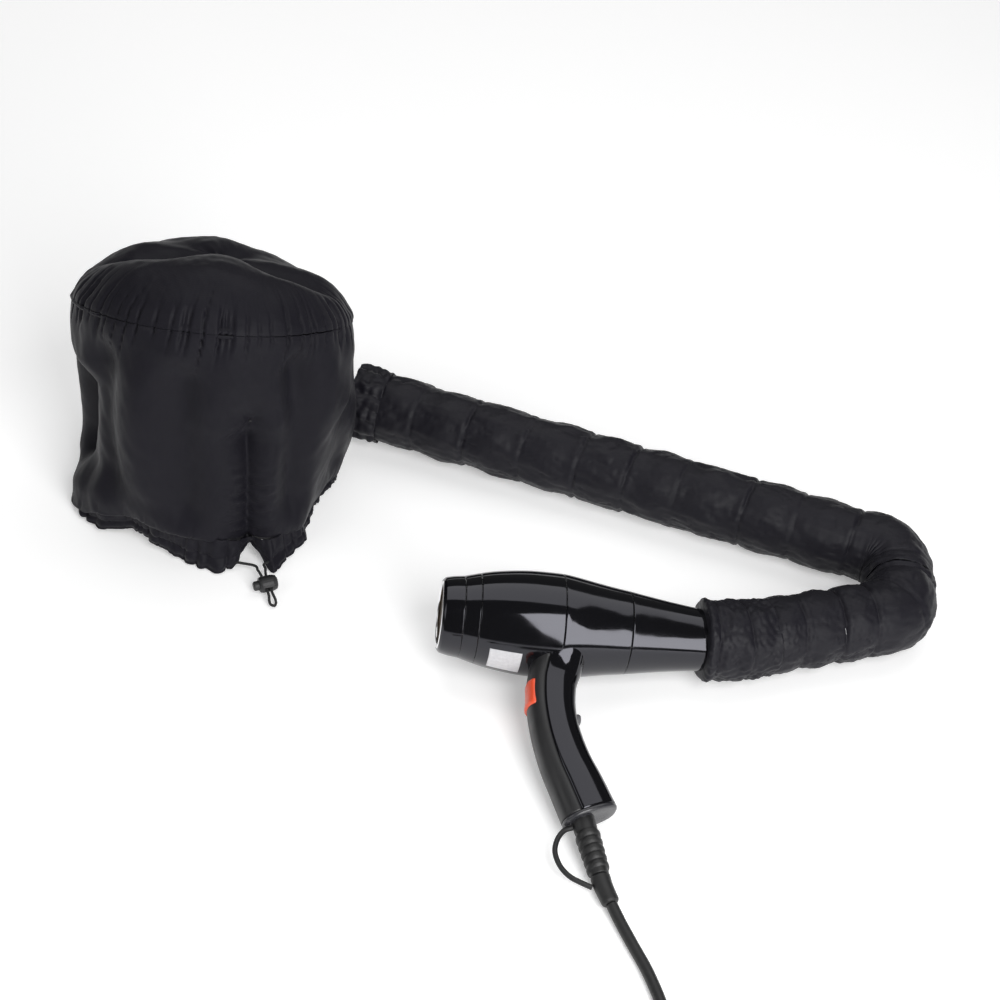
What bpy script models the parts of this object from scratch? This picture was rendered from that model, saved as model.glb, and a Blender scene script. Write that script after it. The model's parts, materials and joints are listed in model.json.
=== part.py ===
"""Hood hair dryer: a soft bonnet hood, its flexible air hose and the handheld blow-dryer that feeds it.

Everything lies on the surface z = 0, as put down on a table. Metres, +Z up. The frame's origin is under the
middle of the object, mains lead and plug left out.
"""
import bpy
import bmesh
import math
from mathutils import Euler, Matrix, Vector

GAP = 0.0003                      # clearance between pieces that touch

# Hood: a drum of two fabric layers, its crown leaning back
RIM_CENTRE = Vector((-0.255, 0.147, 0.0125))
RIM_RADIUS = 0.119
SEAM_CENTRE = Vector((-0.258, 0.156, 0.184))
SEAM_HALF_WIDTH = 0.121
SEAM_HALF_DEPTH = 0.105
CROWN_LEAN = math.radians(25)
CROWN_RISE = 0.051
WALL_BULGE = 0.006
HEM_MIDDLE = 0.0052               # height of the hem casing's middle line
FABRIC = 0.0015
CHAMBER = 0.022                   # air space between the outer fabric and the lining
HOOD_SIDES = 32
LINING_SIDES = 24
LINING_RISE = 0.036               # how far the lining domes over the head
HEM_RADIUS = 0.0059                # of the hem casing, a rolled tube
STRING_GATE = math.radians(-64.5) # where the drawstring leaves the hem, seen from above
LOCK_REACH = 0.0350               # from the rim out to the middle of the cord lock
LOCK_HEIGHT = 0.0078
GATE_HALF_ANGLE = math.radians(4.5)

# Hose: fabric sleeve over a wire helix
HOSE_RADIUS = 0.031
HOSE_FABRIC = 0.0012
HOSE_Z = 0.0315
HOSE_START = [(-0.190, 0.226, 0.0355), (-0.150, 0.2265, 0.0350), (-0.115, 0.2200, 0.0335)]
FIRST_BEND = Vector((0.350, 0.105, HOSE_Z))
SECOND_BEND = Vector((0.350, 0.033, HOSE_Z))
BEND_REACH = 0.0285               # from a bend's corner to the straight sleeve on each side
LOWER_ROUTE = [(0.262, 0.0012, 0.0320), (0.235, -0.0095, 0.0328), (0.205, -0.0200, 0.0343)]
CUFF_MOUTH = (0.1773, -0.0251, 0.0357)
CUFF_RADIUS = 0.0322
WIRE_RADIUS = 0.0009
WIRE_PITCH_UPPER = 0.050
WIRE_PITCH_LOWER = 0.031

# Dryer: its own frame has +X along the barrel towards the nozzle and -Z down the handle
DRYER_ORIGIN = Vector((0.0597, -0.0353, 0.0440))
DRYER_TURN = Euler((math.radians(-81.4), math.radians(4.1), math.radians(4.94)))
SHELL = 0.0022
CAP_END = -0.0985
CAP_FRONT = -0.0812
SEAT_FRONT = -0.0685
HOUSING_SEAM = -0.0010
NOZZLE_SEAM = 0.0555
NOZZLE_TIP = 0.1480
HEATER_RADIUS = 0.0224
HANDLE_PATH = [                   # x, z, half width, half thickness
    (-0.0010, -0.0335, 0.0215, 0.0168),
    (-0.0040, -0.0450, 0.0205, 0.0166),
    (-0.0067, -0.0600, 0.0198, 0.0165),
    (-0.0068, -0.0780, 0.0194, 0.0164),
    (-0.0045, -0.0960, 0.0194, 0.0163),
    (-0.0003, -0.1130, 0.0199, 0.0160),
    (0.0055, -0.1300, 0.0207, 0.0158),
    (0.0130, -0.1470, 0.0217, 0.0156),
    (0.0222, -0.1690, 0.0225, 0.0154),
]
ROCKER_PIVOT = (-0.0235, 0.0, -0.0705)
BUTTON_AT = (0.0140, 0.0, -0.0870)
RELIEF_TOP = Vector((0.0160, 0.0, -0.1690))
RELIEF_WAY = Vector((0.270, 0.0, -0.963))

# Mains lead
LEAD_RADIUS = 0.0045
SLEEVE_ROUTE = [(0.1057, -0.2485, 0.0092), (0.1084, -0.2558, 0.0082), (0.1118, -0.2631, 0.0075),
                (0.1155, -0.2705, 0.0072)]
LEAD_ROUTE = [(0.1158, -0.2711, 0.0069), (0.1225, -0.2840, 0.0056), (0.1325, -0.3020, 0.0049),
              (0.1440, -0.3230, 0.0048), (0.1540, -0.3470, 0.0048), (0.1622, -0.3730, 0.0048),
              (0.1662, -0.3930, 0.0048), (0.1675, -0.4105, 0.0048)]
COIL_CENTRE = Vector((0.109, -0.445, 0.0))
COIL_RADIUS = 0.0495
COIL_HALF_WIDTH = 0.0137
COIL_BOTTOM = 0.0003
COIL_TOP = 0.0280
TAIL_ROUTE = [(0.0566, -0.4855, 0.0222), (0.0440, -0.4855, 0.0206), (0.0310, -0.4855, 0.0180),
              (0.0180, -0.4855, 0.0154), (0.0060, -0.4855, 0.0139), (-0.0060, -0.4855, 0.0135)]
PLUG_START = Vector((-0.0063, -0.4855, 0.0135))


# ---------------------------------------------------------------- helpers

def collection(name):
    group = bpy.data.collections.new(name)
    bpy.context.scene.collection.children.link(group)
    return group


def material(name, colour, roughness, metallic=0.0):
    made = bpy.data.materials.new(name)
    made.use_nodes = True
    shader = made.node_tree.nodes["Principled BSDF"]
    shader.inputs["Base Color"].default_value = (*colour, 1.0)
    shader.inputs["Roughness"].default_value = roughness
    shader.inputs["Metallic"].default_value = metallic
    made.diffuse_color = (*colour, 1.0)
    return made


def add(name, data, look, parent=None, place=(0, 0, 0), turn=(0, 0, 0), group=None):
    """Links one object, in its parent's frame, with its material."""
    piece = bpy.data.objects.new(name, data)
    (group or PARTS).objects.link(piece)
    if look:
        data.materials.append(look)
    piece.parent = parent
    piece.location = place
    piece.rotation_euler = turn
    return piece


def mesh_from(name, build, smooth_angle=40):
    """Runs build(bm) on a new mesh."""
    bm = bmesh.new()
    build(bm)
    mesh = bpy.data.meshes.new(name)
    bm.to_mesh(mesh)
    bm.free()
    if smooth_angle:
        mesh.shade_smooth()
        mesh.set_sharp_from_angle(angle=math.radians(smooth_angle))
    return mesh


def loft(name, rings, ends=(False, False), closed=True, inside=None):
    """Skins rings of equal count with quads, and optional flat ends. An open strip faces away from inside."""
    def build(bm):
        rows = [[bm.verts.new(point) for point in ring] for ring in rings]
        count = len(rows[0])
        for low, high in zip(rows, rows[1:]):
            for i in range(count if closed else count - 1):
                j = (i + 1) % count
                bm.faces.new((low[i], low[j], high[j], high[i]))
        if ends[0]:
            bm.faces.new(list(reversed(rows[0])))
        if ends[1]:
            bm.faces.new(rows[-1])
        bmesh.ops.recalc_face_normals(bm, faces=bm.faces)
        if inside and sum(f.normal.dot(f.calc_center_median() - inside) for f in bm.faces) < 0:
            bmesh.ops.reverse_faces(bm, faces=bm.faces)
    return mesh_from(name, build)


def turned(name, profile, look, parent=None, place=(0, 0, 0), turn=(0, 0, 0), steps=32, group=None):
    """A profile of (radius, z), outer side top to bottom, turned about its own Z."""
    def build(bm):
        verts = [bm.verts.new((radius, 0.0, z)) for radius, z in profile]
        for a, b in zip(verts, verts[1:]):
            bm.edges.new((a, b))
        if profile[0][0] > 0:
            bm.edges.new((verts[-1], verts[0]))
    piece = add(name, mesh_from(name, build), look, parent, place, turn, group)
    screw = piece.modifiers.new("turn", "SCREW")
    screw.steps = steps
    screw.render_steps = steps
    screw.use_merge_vertices = True
    screw.merge_threshold = 0.00001
    return piece


def curve_data(name, points, radius, cyclic=False, caps=True, resolution=2, swell=None):
    data = bpy.data.curves.new(name, "CURVE")
    data.dimensions = "3D"
    data.bevel_depth = radius
    data.bevel_resolution = resolution
    data.use_fill_caps = caps
    spline = data.splines.new("POLY")
    spline.points.add(len(points) - 1)
    for i, point in enumerate(points):
        spline.points[i].co = (*point, 1.0)
        spline.points[i].radius = swell[i] if swell else 1.0
    spline.use_cyclic_u = cyclic
    return data


def tube(name, points, radius, look, parent=None, group=None, **options):
    return add(name, curve_data(name, points, radius, **options), look, parent, group=group)


def sleeve(name, points, radius, wall, look, resolution=7, swell=None):
    """An open hollow tube along points: an uncapped curve, made a mesh, with a wall inwards."""
    data = curve_data(name + "_path", points, radius, caps=False, resolution=resolution, swell=swell)
    guide = bpy.data.objects.new(name + "_path", data)
    PARTS.objects.link(guide)
    mesh = bpy.data.meshes.new_from_object(guide.evaluated_get(bpy.context.evaluated_depsgraph_get()))
    bpy.data.objects.remove(guide)
    bm = bmesh.new()
    bm.from_mesh(mesh)
    bmesh.ops.remove_doubles(bm, verts=bm.verts, dist=0.00001)
    bmesh.ops.recalc_face_normals(bm, faces=bm.faces)
    bm.to_mesh(mesh)
    bm.free()
    mesh.name = name
    mesh.shade_smooth()
    piece = add(name, mesh, look)
    thicken(piece, wall)
    return piece


def thicken(piece, wall):
    shell = piece.modifiers.new("wall", "SOLIDIFY")
    shell.thickness = wall
    shell.offset = -1.0
    shell.use_even_offset = True


def block(name, size, look, parent=None, place=(0, 0, 0), turn=(0, 0, 0), bevel=0.0, group=None):
    def build(bm):
        bmesh.ops.create_cube(bm, size=1.0)
        bmesh.ops.scale(bm, vec=size, verts=bm.verts)
    piece = add(name, mesh_from(name, build), look, parent, place, turn, group)
    if bevel:
        edge = piece.modifiers.new("edges", "BEVEL")
        edge.width = bevel
        edge.segments = 2
    return piece


def cutter(piece):
    piece.hide_render = True
    piece.display_type = "WIRE"
    return piece


def cut(piece, tool, operation="DIFFERENCE"):
    step = piece.modifiers.new(operation.lower(), "BOOLEAN")
    step.operation = operation
    step.object = tool
    step.solver = "EXACT"


def smooth_route(points, spacing):
    """Points about spacing apart on a Catmull-Rom curve through the given ones."""
    nodes = [Vector(p) for p in points]
    nodes = [nodes[0] * 2 - nodes[1]] + nodes + [nodes[-1] * 2 - nodes[-2]]
    route = []
    for a, b, c, d in zip(nodes, nodes[1:], nodes[2:], nodes[3:]):
        count = max(1, round((c - b).length / spacing))
        for i in range(count):
            t = i / count
            route.append(0.5 * (2 * b + (c - a) * t + (2 * a - 5 * b + 4 * c - d) * t * t
                                + (3 * b - a - 3 * c + d) * t ** 3))
    return route + [nodes[-2]]


def ellipse(angle, half_width, half_depth):
    return half_width * math.cos(angle), half_depth * math.sin(angle)


def around(count, start=0.0, end=2 * math.pi, closed=True):
    steps = count if closed else count - 1
    return [start + (end - start) * i / steps for i in range(count)]


# ---------------------------------------------------------------- hood geometry

CROWN_UP = Vector((0.0, math.sin(CROWN_LEAN), math.cos(CROWN_LEAN)))
CROWN_BACK = Vector((0.0, math.cos(CROWN_LEAN), -math.sin(CROWN_LEAN)))


def seam_point(angle, inset=0.0, lift=0.0, share=1.0):
    """A point in the crown's leaning plane: share 1 is the crown seam, 0 its middle."""
    x, y = ellipse(angle, SEAM_HALF_WIDTH - inset, SEAM_HALF_DEPTH - inset)
    return SEAM_CENTRE + Vector((x * share, 0, 0)) + CROWN_BACK * (y * share) + CROWN_UP * lift


def wall_point(angle, share, inset=0.0):
    """A point on the side wall: share 0 is the hem, 1 the crown seam."""
    x, y = ellipse(angle, RIM_RADIUS - inset, RIM_RADIUS - inset)
    low = RIM_CENTRE + Vector((x, y, 0))
    outward = Vector((math.cos(angle), math.sin(angle), 0)) * WALL_BULGE * math.sin(math.pi * share)
    return low.lerp(seam_point(angle, inset), share) + outward


def dome_lift(share, rise):
    return rise * max(0.0, 1 - share * share) ** 0.75


def wall_rings(shares, inset, count=HOOD_SIDES):
    return [[wall_point(a, share, inset) for a in around(count)] for share in shares]


def dome_rings(shares, inset, rise, lift, count=HOOD_SIDES):
    return [[seam_point(a, inset, lift + dome_lift(s, rise), s) for a in around(count)] for s in shares]


def hood_solid(name, grow):
    """The hood's outer form, hem included, as one closed solid, for trimming what is sewn to it."""
    rings = wall_rings((-0.2, 0.04), -grow - HEM_RADIUS) + wall_rings((0.08, 0.2, 0.4, 0.6, 0.8, 1.0), -grow)
    return add(name, loft(name, rings, ends=(True, True)), None, group=CUTTERS)


def make_hood():
    wall = add("side_wall", loft("side_wall", wall_rings((0, 0.2, 0.4, 0.6, 0.8, 0.992), 0)),
               NYLON)
    thicken(wall, FABRIC)
    hole = tube("hose_hole", HOSE_START[:2] + [(-0.100, 0.2170, 0.0330)], HOSE_RADIUS - 0.0028, None,
                group=CUTTERS, resolution=6)
    cut(wall, closed_mesh(hole))

    crown = dome_rings((1.0, 0.96, 0.86, 0.68, 0.45, 0.15), 0, CROWN_RISE, 0.0014)
    panel = add("crown_panel", loft("crown_panel", crown, ends=(False, True)), NYLON)
    thicken(panel, FABRIC)

    binding = [seam_point(a, 0.0042, -0.0016) for a in around(HOOD_SIDES)]
    tube("crown_seam_binding", binding, 0.0016, NYLON, cyclic=True, resolution=1)
    make_lining()
    make_tacks()
    make_hem()


def make_lining():
    """The inner cap over the head: close to the wall at the hem, a chamber's width inside it above."""
    rings = wall_rings((0.0,), 0.0030, LINING_SIDES)
    rings += wall_rings((0.10,), 0.0110, LINING_SIDES)
    rings += wall_rings((0.22,), CHAMBER * 0.85, LINING_SIDES)
    rings += wall_rings((0.5, 0.8, 0.95), CHAMBER, LINING_SIDES)
    rings += dome_rings((0.97, 0.8, 0.5, 0.15), CHAMBER, LINING_RISE, -0.008, LINING_SIDES)
    lining = add("vented_lining", loft("vented_lining", rings, ends=(False, True)), LINING)
    thicken(lining, 0.0011)
    cut(lining, vent_cutters())


def vent_cutters():
    """Air outlets of the lining: two rows round the wall, one round the crown."""
    def build(bm):
        for share, shift in ((0.38, 0.0), (0.68, 0.5)):
            for i in range(8):
                angle = 2 * math.pi * (i + shift) / 8
                spot = wall_point(angle, share, CHAMBER)
                drill(bm, spot, Vector((math.cos(angle), math.sin(angle), 0.0)))
        for i in range(5):
            angle = 2 * math.pi * i / 5
            spot = seam_point(angle, CHAMBER, -0.008 + dome_lift(0.55, LINING_RISE), 0.55)
            drill(bm, spot, CROWN_UP)
    return cutter(add("vents", mesh_from("vents", build), None, group=CUTTERS))


def drill(bm, spot, way, radius=0.0045, length=0.014, sides=6):
    turn = way.to_track_quat("Z", "Y").to_matrix().to_4x4()
    bmesh.ops.create_cone(bm, cap_ends=True, segments=sides, radius1=radius, radius2=radius, depth=length,
                          matrix=Matrix.Translation(spot) @ turn)


def closed_mesh(piece):
    """A capped curve as a welded mesh, so that it can cut."""
    mesh = bpy.data.meshes.new_from_object(piece.evaluated_get(bpy.context.evaluated_depsgraph_get()))
    bm = bmesh.new()
    bm.from_mesh(mesh)
    bmesh.ops.remove_doubles(bm, verts=bm.verts, dist=0.00001)
    bmesh.ops.recalc_face_normals(bm, faces=bm.faces)
    bm.to_mesh(mesh)
    bm.free()
    name = piece.name
    place = piece.matrix_world.copy()
    bpy.data.objects.remove(piece)
    made = bpy.data.objects.new(name, mesh)
    CUTTERS.objects.link(made)
    made.matrix_world = place
    return cutter(made)


def make_tacks():
    """Thread ties that hold the lining to the outer fabric and quilt it."""
    for name, degrees, share in (("tack_front", -66, 0.60), ("tack_right", 4, 0.62), ("tack_back", 107, 0.62),
                                 ("tack_left", 198, 0.46)):
        angle = math.radians(degrees)
        outer = wall_point(angle, share, FABRIC + 0.0018)
        inner = wall_point(angle, share, CHAMBER - 0.0018)
        tube(name, (outer, outer.lerp(inner, 0.5), inner), 0.0012, NYLON, swell=(1.6, 0.8, 1.6))
    for name, x, back in (("crown_tack_left", -0.038, -0.018), ("crown_tack_right", 0.060, -0.020)):
        foot = SEAM_CENTRE + Vector((x, 0, 0)) + CROWN_BACK * back
        tube(name, (foot + CROWN_UP * 0.0355, foot + CROWN_UP * 0.0300), 0.0012, NYLON)


def make_hem():
    """Hem casing with its drawstring, and the spring lock on the string."""
    start = STRING_GATE + GATE_HALF_ANGLE
    end = STRING_GATE - GATE_HALF_ANGLE + 2 * math.pi
    centre = Vector((RIM_CENTRE.x, RIM_CENTRE.y, HEM_MIDDLE))
    ring = [centre + Vector((*ellipse(a, RIM_RADIUS - 0.0010, RIM_RADIUS - 0.0010), 0))
            for a in around(33, start, end, closed=False)]
    sleeve("hem_casing", ring, HEM_RADIUS, FABRIC, NYLON, resolution=1)
    out = Vector((math.cos(STRING_GATE), math.sin(STRING_GATE), 0))
    side = Vector((-out.y, out.x, 0))
    lock = centre + out * (RIM_RADIUS + LOCK_REACH)
    lock.z = LOCK_HEIGHT
    loop = [lock + out * 0.0180 + side * 0.0004, lock + out * 0.0172 + side * 0.0015,
            lock + out * 0.0150 + side * 0.0017, lock + side * 0.0017, lock - out * 0.0105 + side * 0.0018,
            lock - out * 0.0165 + side * 0.0032, lock - out * 0.0205 + side * 0.0065]
    mirrored = [p - side * 2 * (p - lock).dot(side) for p in reversed(loop)]
    string = loop + ring + mirrored
    tube("drawstring", string, 0.0012, STRING, cyclic=True, resolution=1)
    make_cord_lock(lock, out)


def make_cord_lock(place, out):
    """A barrel lock: a cup, a sprung plunger with a slot, and the string through both."""
    turn = (0, 0, math.atan2(out.y, out.x) - math.pi / 2)
    frame = bpy.data.objects.new("cord_lock_frame", None)
    PARTS.objects.link(frame)
    frame.location = place
    frame.rotation_euler = turn
    along_x = (0, math.pi / 2, 0)
    cup = [(0.0045, 0.0070), (0.0062, 0.0066), (0.0070, 0.0045), (0.0072, 0.0), (0.0070, -0.0050),
           (0.0060, -0.0080), (0.0042, -0.0090), (0.0008, -0.0091), (0.0008, -0.0075), (0.0045, -0.0075)]
    pin = [(0.0, 0.0120), (0.0030, 0.0118), (0.0041, 0.0108), (0.0042, -0.0030), (0.0, -0.0030)]
    body = turned("cord_lock_body", cup, PLASTIC, frame, turn=along_x, steps=20)
    plunger = turned("cord_lock_plunger", pin, PLASTIC, frame, turn=along_x, steps=20)
    hole = block("string_hole", (0.0064, 0.040, 0.0036), None, frame, group=CUTTERS)
    slot = block("string_slot", (0.0090, 0.040, 0.0036), None, frame, place=(0.0014, 0, 0), group=CUTTERS)
    cut(body, cutter(hole))
    cut(plunger, cutter(slot))
    helix = [Vector((-0.0069 + 0.0034 * i / 24, 0.0026 * math.cos(i * math.pi / 4),
                     0.0026 * math.sin(i * math.pi / 4))) for i in range(25)]
    tube("cord_lock_spring", helix, 0.0003, STEEL, frame, resolution=0)


# ---------------------------------------------------------------- hose

def towards(a, b, distance):
    return a + (b - a).normalized() * distance


def bend_arc(before, corner, after, segments=6):
    """A bend between two straights at equal reach from the corner, its end faces square to them."""
    square = BEND_REACH - 0.003
    one, two = towards(corner, before, square), towards(corner, after, square)
    half_turn = (math.pi - (one - corner).angle(two - corner)) / 2
    hub = corner + ((one + two) / 2 - corner).normalized() * square / math.sin(half_turn)
    radius = square / math.tan(half_turn)
    sweeps = [(one - hub).slerp(two - hub, i / segments) for i in range(segments + 1)]
    arc = [hub + sweep.normalized() * radius for sweep in sweeps]
    return [towards(corner, before, BEND_REACH)] + arc + [towards(corner, after, BEND_REACH)]


def helix_along(points, pitch, radius, per_turn=10, phase=0.0):
    """A helix of given radius about the route, its turns pitch apart."""
    lengths = [0.0]
    for a, b in zip(points, points[1:]):
        lengths.append(lengths[-1] + (b - a).length)
    steps = int(lengths[-1] / pitch * per_turn)
    wire = []
    for k in range(steps + 1):
        s = lengths[-1] * k / steps
        i = max(j for j in range(len(points) - 1) if lengths[j] <= s + 1e-9)
        spot = points[i].lerp(points[i + 1], (s - lengths[i]) / (lengths[i + 1] - lengths[i]))
        way = (points[i + 1] - points[i]).normalized()
        side = Vector((-way.y, way.x, 0)).normalized()
        angle = 2 * math.pi * s / pitch + phase
        wire.append(spot + side * radius * math.cos(angle) + way.cross(side) * radius * math.sin(angle))
    return wire


def between_faces(points, first, last):
    """The route shortened by first and last at its ends."""
    points = list(points)
    points[0] = towards(points[0], points[1], first)
    points[-1] = towards(points[-1], points[-2], last)
    return points


def make_hose():
    start = smooth_route(HOSE_START + [tuple(Vector(HOSE_START[-1]).lerp(FIRST_BEND, 0.12))], 0.018)
    straight = [Vector(HOSE_START[-1]).lerp(FIRST_BEND, t) for t in (0.35, 0.6, 0.8)]
    upper = start + straight + [towards(FIRST_BEND, Vector(HOSE_START[-1]), BEND_REACH)]
    lower = [Vector(p) for p in LOWER_ROUTE[:2]]
    lower = [towards(SECOND_BEND, lower[0], BEND_REACH), towards(SECOND_BEND, lower[0], 0.060)] + lower
    cuff = smooth_route([towards(lower[-1], lower[-2], -0.004), LOWER_ROUTE[2], CUFF_MOUTH], 0.012)
    cuff = [lower[-1]] + cuff

    trim = hood_solid("hood_form", 0.0006)
    cutter(trim)
    hose = sleeve("hose_upper", between_faces(upper, 0, GAP), HOSE_RADIUS, HOSE_FABRIC, NYLON)
    cut(hose, trim)
    collar_route = [p for p in start if p.x < -0.097]
    collar = sleeve("hose_collar", collar_route, HOSE_RADIUS + 0.0018, 0.0014, NYLON)
    cut(collar, trim)
    sleeve("hose_bend_1", between_faces(bend_arc(straight[-1], FIRST_BEND, SECOND_BEND), GAP, GAP),
           HOSE_RADIUS, HOSE_FABRIC, NYLON)
    middle = [towards(FIRST_BEND, SECOND_BEND, BEND_REACH), towards(SECOND_BEND, FIRST_BEND, BEND_REACH)]
    sleeve("hose_middle", between_faces(middle, GAP, GAP), HOSE_RADIUS, HOSE_FABRIC, NYLON)
    sleeve("hose_bend_2", between_faces(bend_arc(FIRST_BEND, SECOND_BEND, lower[1]), GAP, GAP),
           HOSE_RADIUS, HOSE_FABRIC, NYLON)
    sleeve("hose_lower", between_faces(lower, GAP, GAP), HOSE_RADIUS, HOSE_FABRIC, NYLON)
    sleeve("hose_cuff", between_faces(cuff, GAP, 0), CUFF_RADIUS, 0.0016, NYLON)

    inside = HOSE_RADIUS - HOSE_FABRIC - WIRE_RADIUS - GAP - 0.0002
    clear_of_hood = [p for p in upper if p.x > -0.118]
    tube("wire_helix_upper", helix_along(between_faces(clear_of_hood, 0, 0.004), WIRE_PITCH_UPPER, inside),
         WIRE_RADIUS, STEEL, resolution=0)
    tube("wire_helix_lower", helix_along(between_faces(lower, 0.003, 0.003), WIRE_PITCH_LOWER, inside),
         WIRE_RADIUS, STEEL, resolution=0)


# ---------------------------------------------------------------- dryer

ALONG_BARREL = (0, math.pi / 2, 0)


def barrel_piece(name, profile, look, parent, steps=28):
    """A turned piece on the barrel's axis. The profile is (x, outer radius) front to back, then inner."""
    flipped = [(radius, x) for x, radius in profile]
    return turned(name, flipped, look, parent, turn=ALONG_BARREL, steps=steps)


def make_barrel(dryer):
    s = SHELL
    barrel_piece("filter_cap", [
        (CAP_FRONT, 0.0334), (-0.0900, 0.0324), (-0.0968, 0.0306), (CAP_END, 0.0294), (CAP_END, 0.0276),
        (CAP_FRONT, 0.0300),
    ], GLOSS, dryer)
    barrel_piece("intake_trim_ring", [
        (CAP_END + 0.0028, 0.0272), (CAP_END, 0.0271), (CAP_END, 0.0252), (CAP_END + 0.0028, 0.0252),
    ], CHROME, dryer)
    dished = [(0.0, 0.0036), (0.0150, 0.0038), (0.0277, 0.0042), (0.0277, 0.0034), (0.0150, 0.0029),
              (0.0, 0.0026)]
    dished = [(radius, CAP_END + depth) for radius, depth in dished]
    turned("intake_mesh", dished, MESH, dryer, turn=ALONG_BARREL)
    barrel_piece("filter_seat", [(SEAT_FRONT - GAP, 0.0368), (-0.0760, 0.0350), (CAP_FRONT + GAP, 0.0336),
                                 (CAP_FRONT + GAP, 0.0302), (SEAT_FRONT - GAP, 0.0345)], GLOSS, dryer)
    rear = barrel_piece("rear_housing", [
        (HOUSING_SEAM - GAP, 0.0432), (-0.0140, 0.0433), (-0.0260, 0.0431), (-0.0370, 0.0423),
        (-0.0500, 0.0407), (-0.0600, 0.0390), (SEAT_FRONT, 0.0371), (SEAT_FRONT, 0.0371 - s),
        (-0.0600, 0.0390 - s), (-0.0500, 0.0407 - s), (-0.0370, 0.0423 - s), (-0.0260, 0.0431 - s),
        (HOUSING_SEAM - GAP, 0.0432 - s),
    ], GLOSS, dryer)
    front = barrel_piece("front_housing", [
        (NOZZLE_SEAM - GAP, 0.0346), (0.0420, 0.0363), (0.0280, 0.0387), (0.0140, 0.0413), (0.0050, 0.0425),
        (HOUSING_SEAM, 0.0431), (HOUSING_SEAM, 0.0431 - s), (0.0050, 0.0425 - s), (0.0140, 0.0413 - s),
        (0.0280, 0.0387 - s), (0.0420, 0.0363 - s), (NOZZLE_SEAM - GAP, 0.0346 - s),
    ], GLOSS, dryer)
    barrel_piece("nozzle", [
        (NOZZLE_TIP, 0.0243), (0.1310, 0.0248), (0.1140, 0.0261), (0.0900, 0.0291), (0.0700, 0.0322),
        (NOZZLE_SEAM, 0.0344), (NOZZLE_SEAM, 0.0344 - s), (0.0700, 0.0322 - s), (0.0900, 0.0291 - s),
        (0.1140, 0.0261 - s), (0.1310, 0.0248 - s), (NOZZLE_TIP, 0.0243 - s),
    ], GLOSS, dryer)
    neck = block("handle_neck", (0.0300, 0.0250, 0.0300), None, dryer, (-0.0010, 0, -0.0420), group=CUTTERS)
    cutter(neck)
    cut(rear, neck)
    cut(front, neck)


def make_inside(dryer, rotor):
    """Fan, motor and heater, in line with the air."""
    barrel_piece("fan_duct", [(-0.0150, 0.0406), (-0.0170, 0.0406), (-0.0170, 0.0372), (-0.0530, 0.0372),
                              (-0.0530, 0.0356), (-0.0150, 0.0356)], PLASTIC, dryer)
    fan = barrel_piece("fan", [(-0.0380, 0.0028), (-0.0380, 0.0120), (-0.0470, 0.0105), (-0.0520, 0.0060),
                               (-0.0520, 0.0028)], PLASTIC, rotor, steps=24)
    blades = cutter(add("fan_blades", mesh_from("fan_blades", fan_blades), None, rotor, group=CUTTERS))
    cut(fan, blades, "UNION")
    turned("motor_shaft", [(0.0, 0.0130), (0.0012, 0.0130), (0.0012, -0.0365), (0.0024, -0.0370),
                           (0.0024, -0.0535), (0.0, -0.0535)], STEEL, rotor, turn=ALONG_BARREL, steps=16)
    barrel_piece("motor", [(0.0100, 0.0120), (0.0080, 0.0140), (-0.0300, 0.0140), (-0.0320, 0.0100),
                           (-0.0320, 0.0018), (0.0100, 0.0018)], STEEL, dryer, steps=24)
    mount = barrel_piece("motor_mount", [(-0.0060, 0.0165), (-0.0240, 0.0165), (-0.0240, 0.0144),
                                         (-0.0060, 0.0144)], PLASTIC, dryer, steps=24)
    arms = cutter(add("mount_arms", mesh_from("mount_arms", mount_arms), None, dryer, group=CUTTERS))
    cut(mount, arms, "UNION")
    plates = [cross_ring(0.0290, 0.0200), cross_ring(0.0830, 0.0200), cross_ring(0.0840, 0.0256),
              cross_ring(0.0870, 0.0256)]
    add("heater_frame", loft("heater_frame", plates, ends=(True, True)), MICA, dryer)
    coil = [Vector((0.0340 + 0.0460 * i / 60, *ellipse(i * math.pi / 5, HEATER_RADIUS, HEATER_RADIUS)))
            for i in range(61)]
    tube("heater_coil", coil, 0.0007, STEEL, dryer, resolution=0)
    barrel_piece("heat_shield", [(0.0880, 0.0266), (0.0280, 0.0266), (0.0280, 0.0260), (0.0880, 0.0260)],
                 MICA, dryer, steps=24)
    grille = barrel_piece("outlet_grille", [(0.1060, 0.0245), (0.1035, 0.0248), (0.1035, 0.0226),
                                            (0.1060, 0.0224)], PLASTIC, dryer, steps=24)
    bars = cutter(add("grille_bars", mesh_from("grille_bars", grille_bars), None, dryer, group=CUTTERS))
    cut(grille, bars, "UNION")


def fan_blades(bm):
    """Seven pitched blades, each a thin block rooted in the hub."""
    for i in range(7):
        turn = Matrix.Rotation(2 * math.pi * i / 7, 4, "X") @ Matrix.Translation((-0.0445, 0.0222, 0))
        bmesh.ops.create_cube(bm, size=1.0, matrix=turn @ Matrix.Rotation(math.radians(38), 4, "Y")
                              @ Matrix.Diagonal((0.0130, 0.0250, 0.0012, 1)))


def mount_arms(bm):
    for i in range(3):
        turn = Matrix.Rotation(2 * math.pi * i / 3, 4, "X") @ Matrix.Translation((-0.0150, 0.0257, 0))
        bmesh.ops.create_cube(bm, size=1.0, matrix=turn @ Matrix.Diagonal((0.0120, 0.0192, 0.0020, 1)))


def grille_bars(bm):
    for angle in (0, math.pi / 3, 2 * math.pi / 3):
        turn = Matrix.Translation((0.1047, 0, 0)) @ Matrix.Rotation(angle, 4, "X")
        bmesh.ops.create_cube(bm, size=1.0, matrix=turn @ Matrix.Diagonal((0.0016, 0.0460, 0.0016, 1)))


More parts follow.
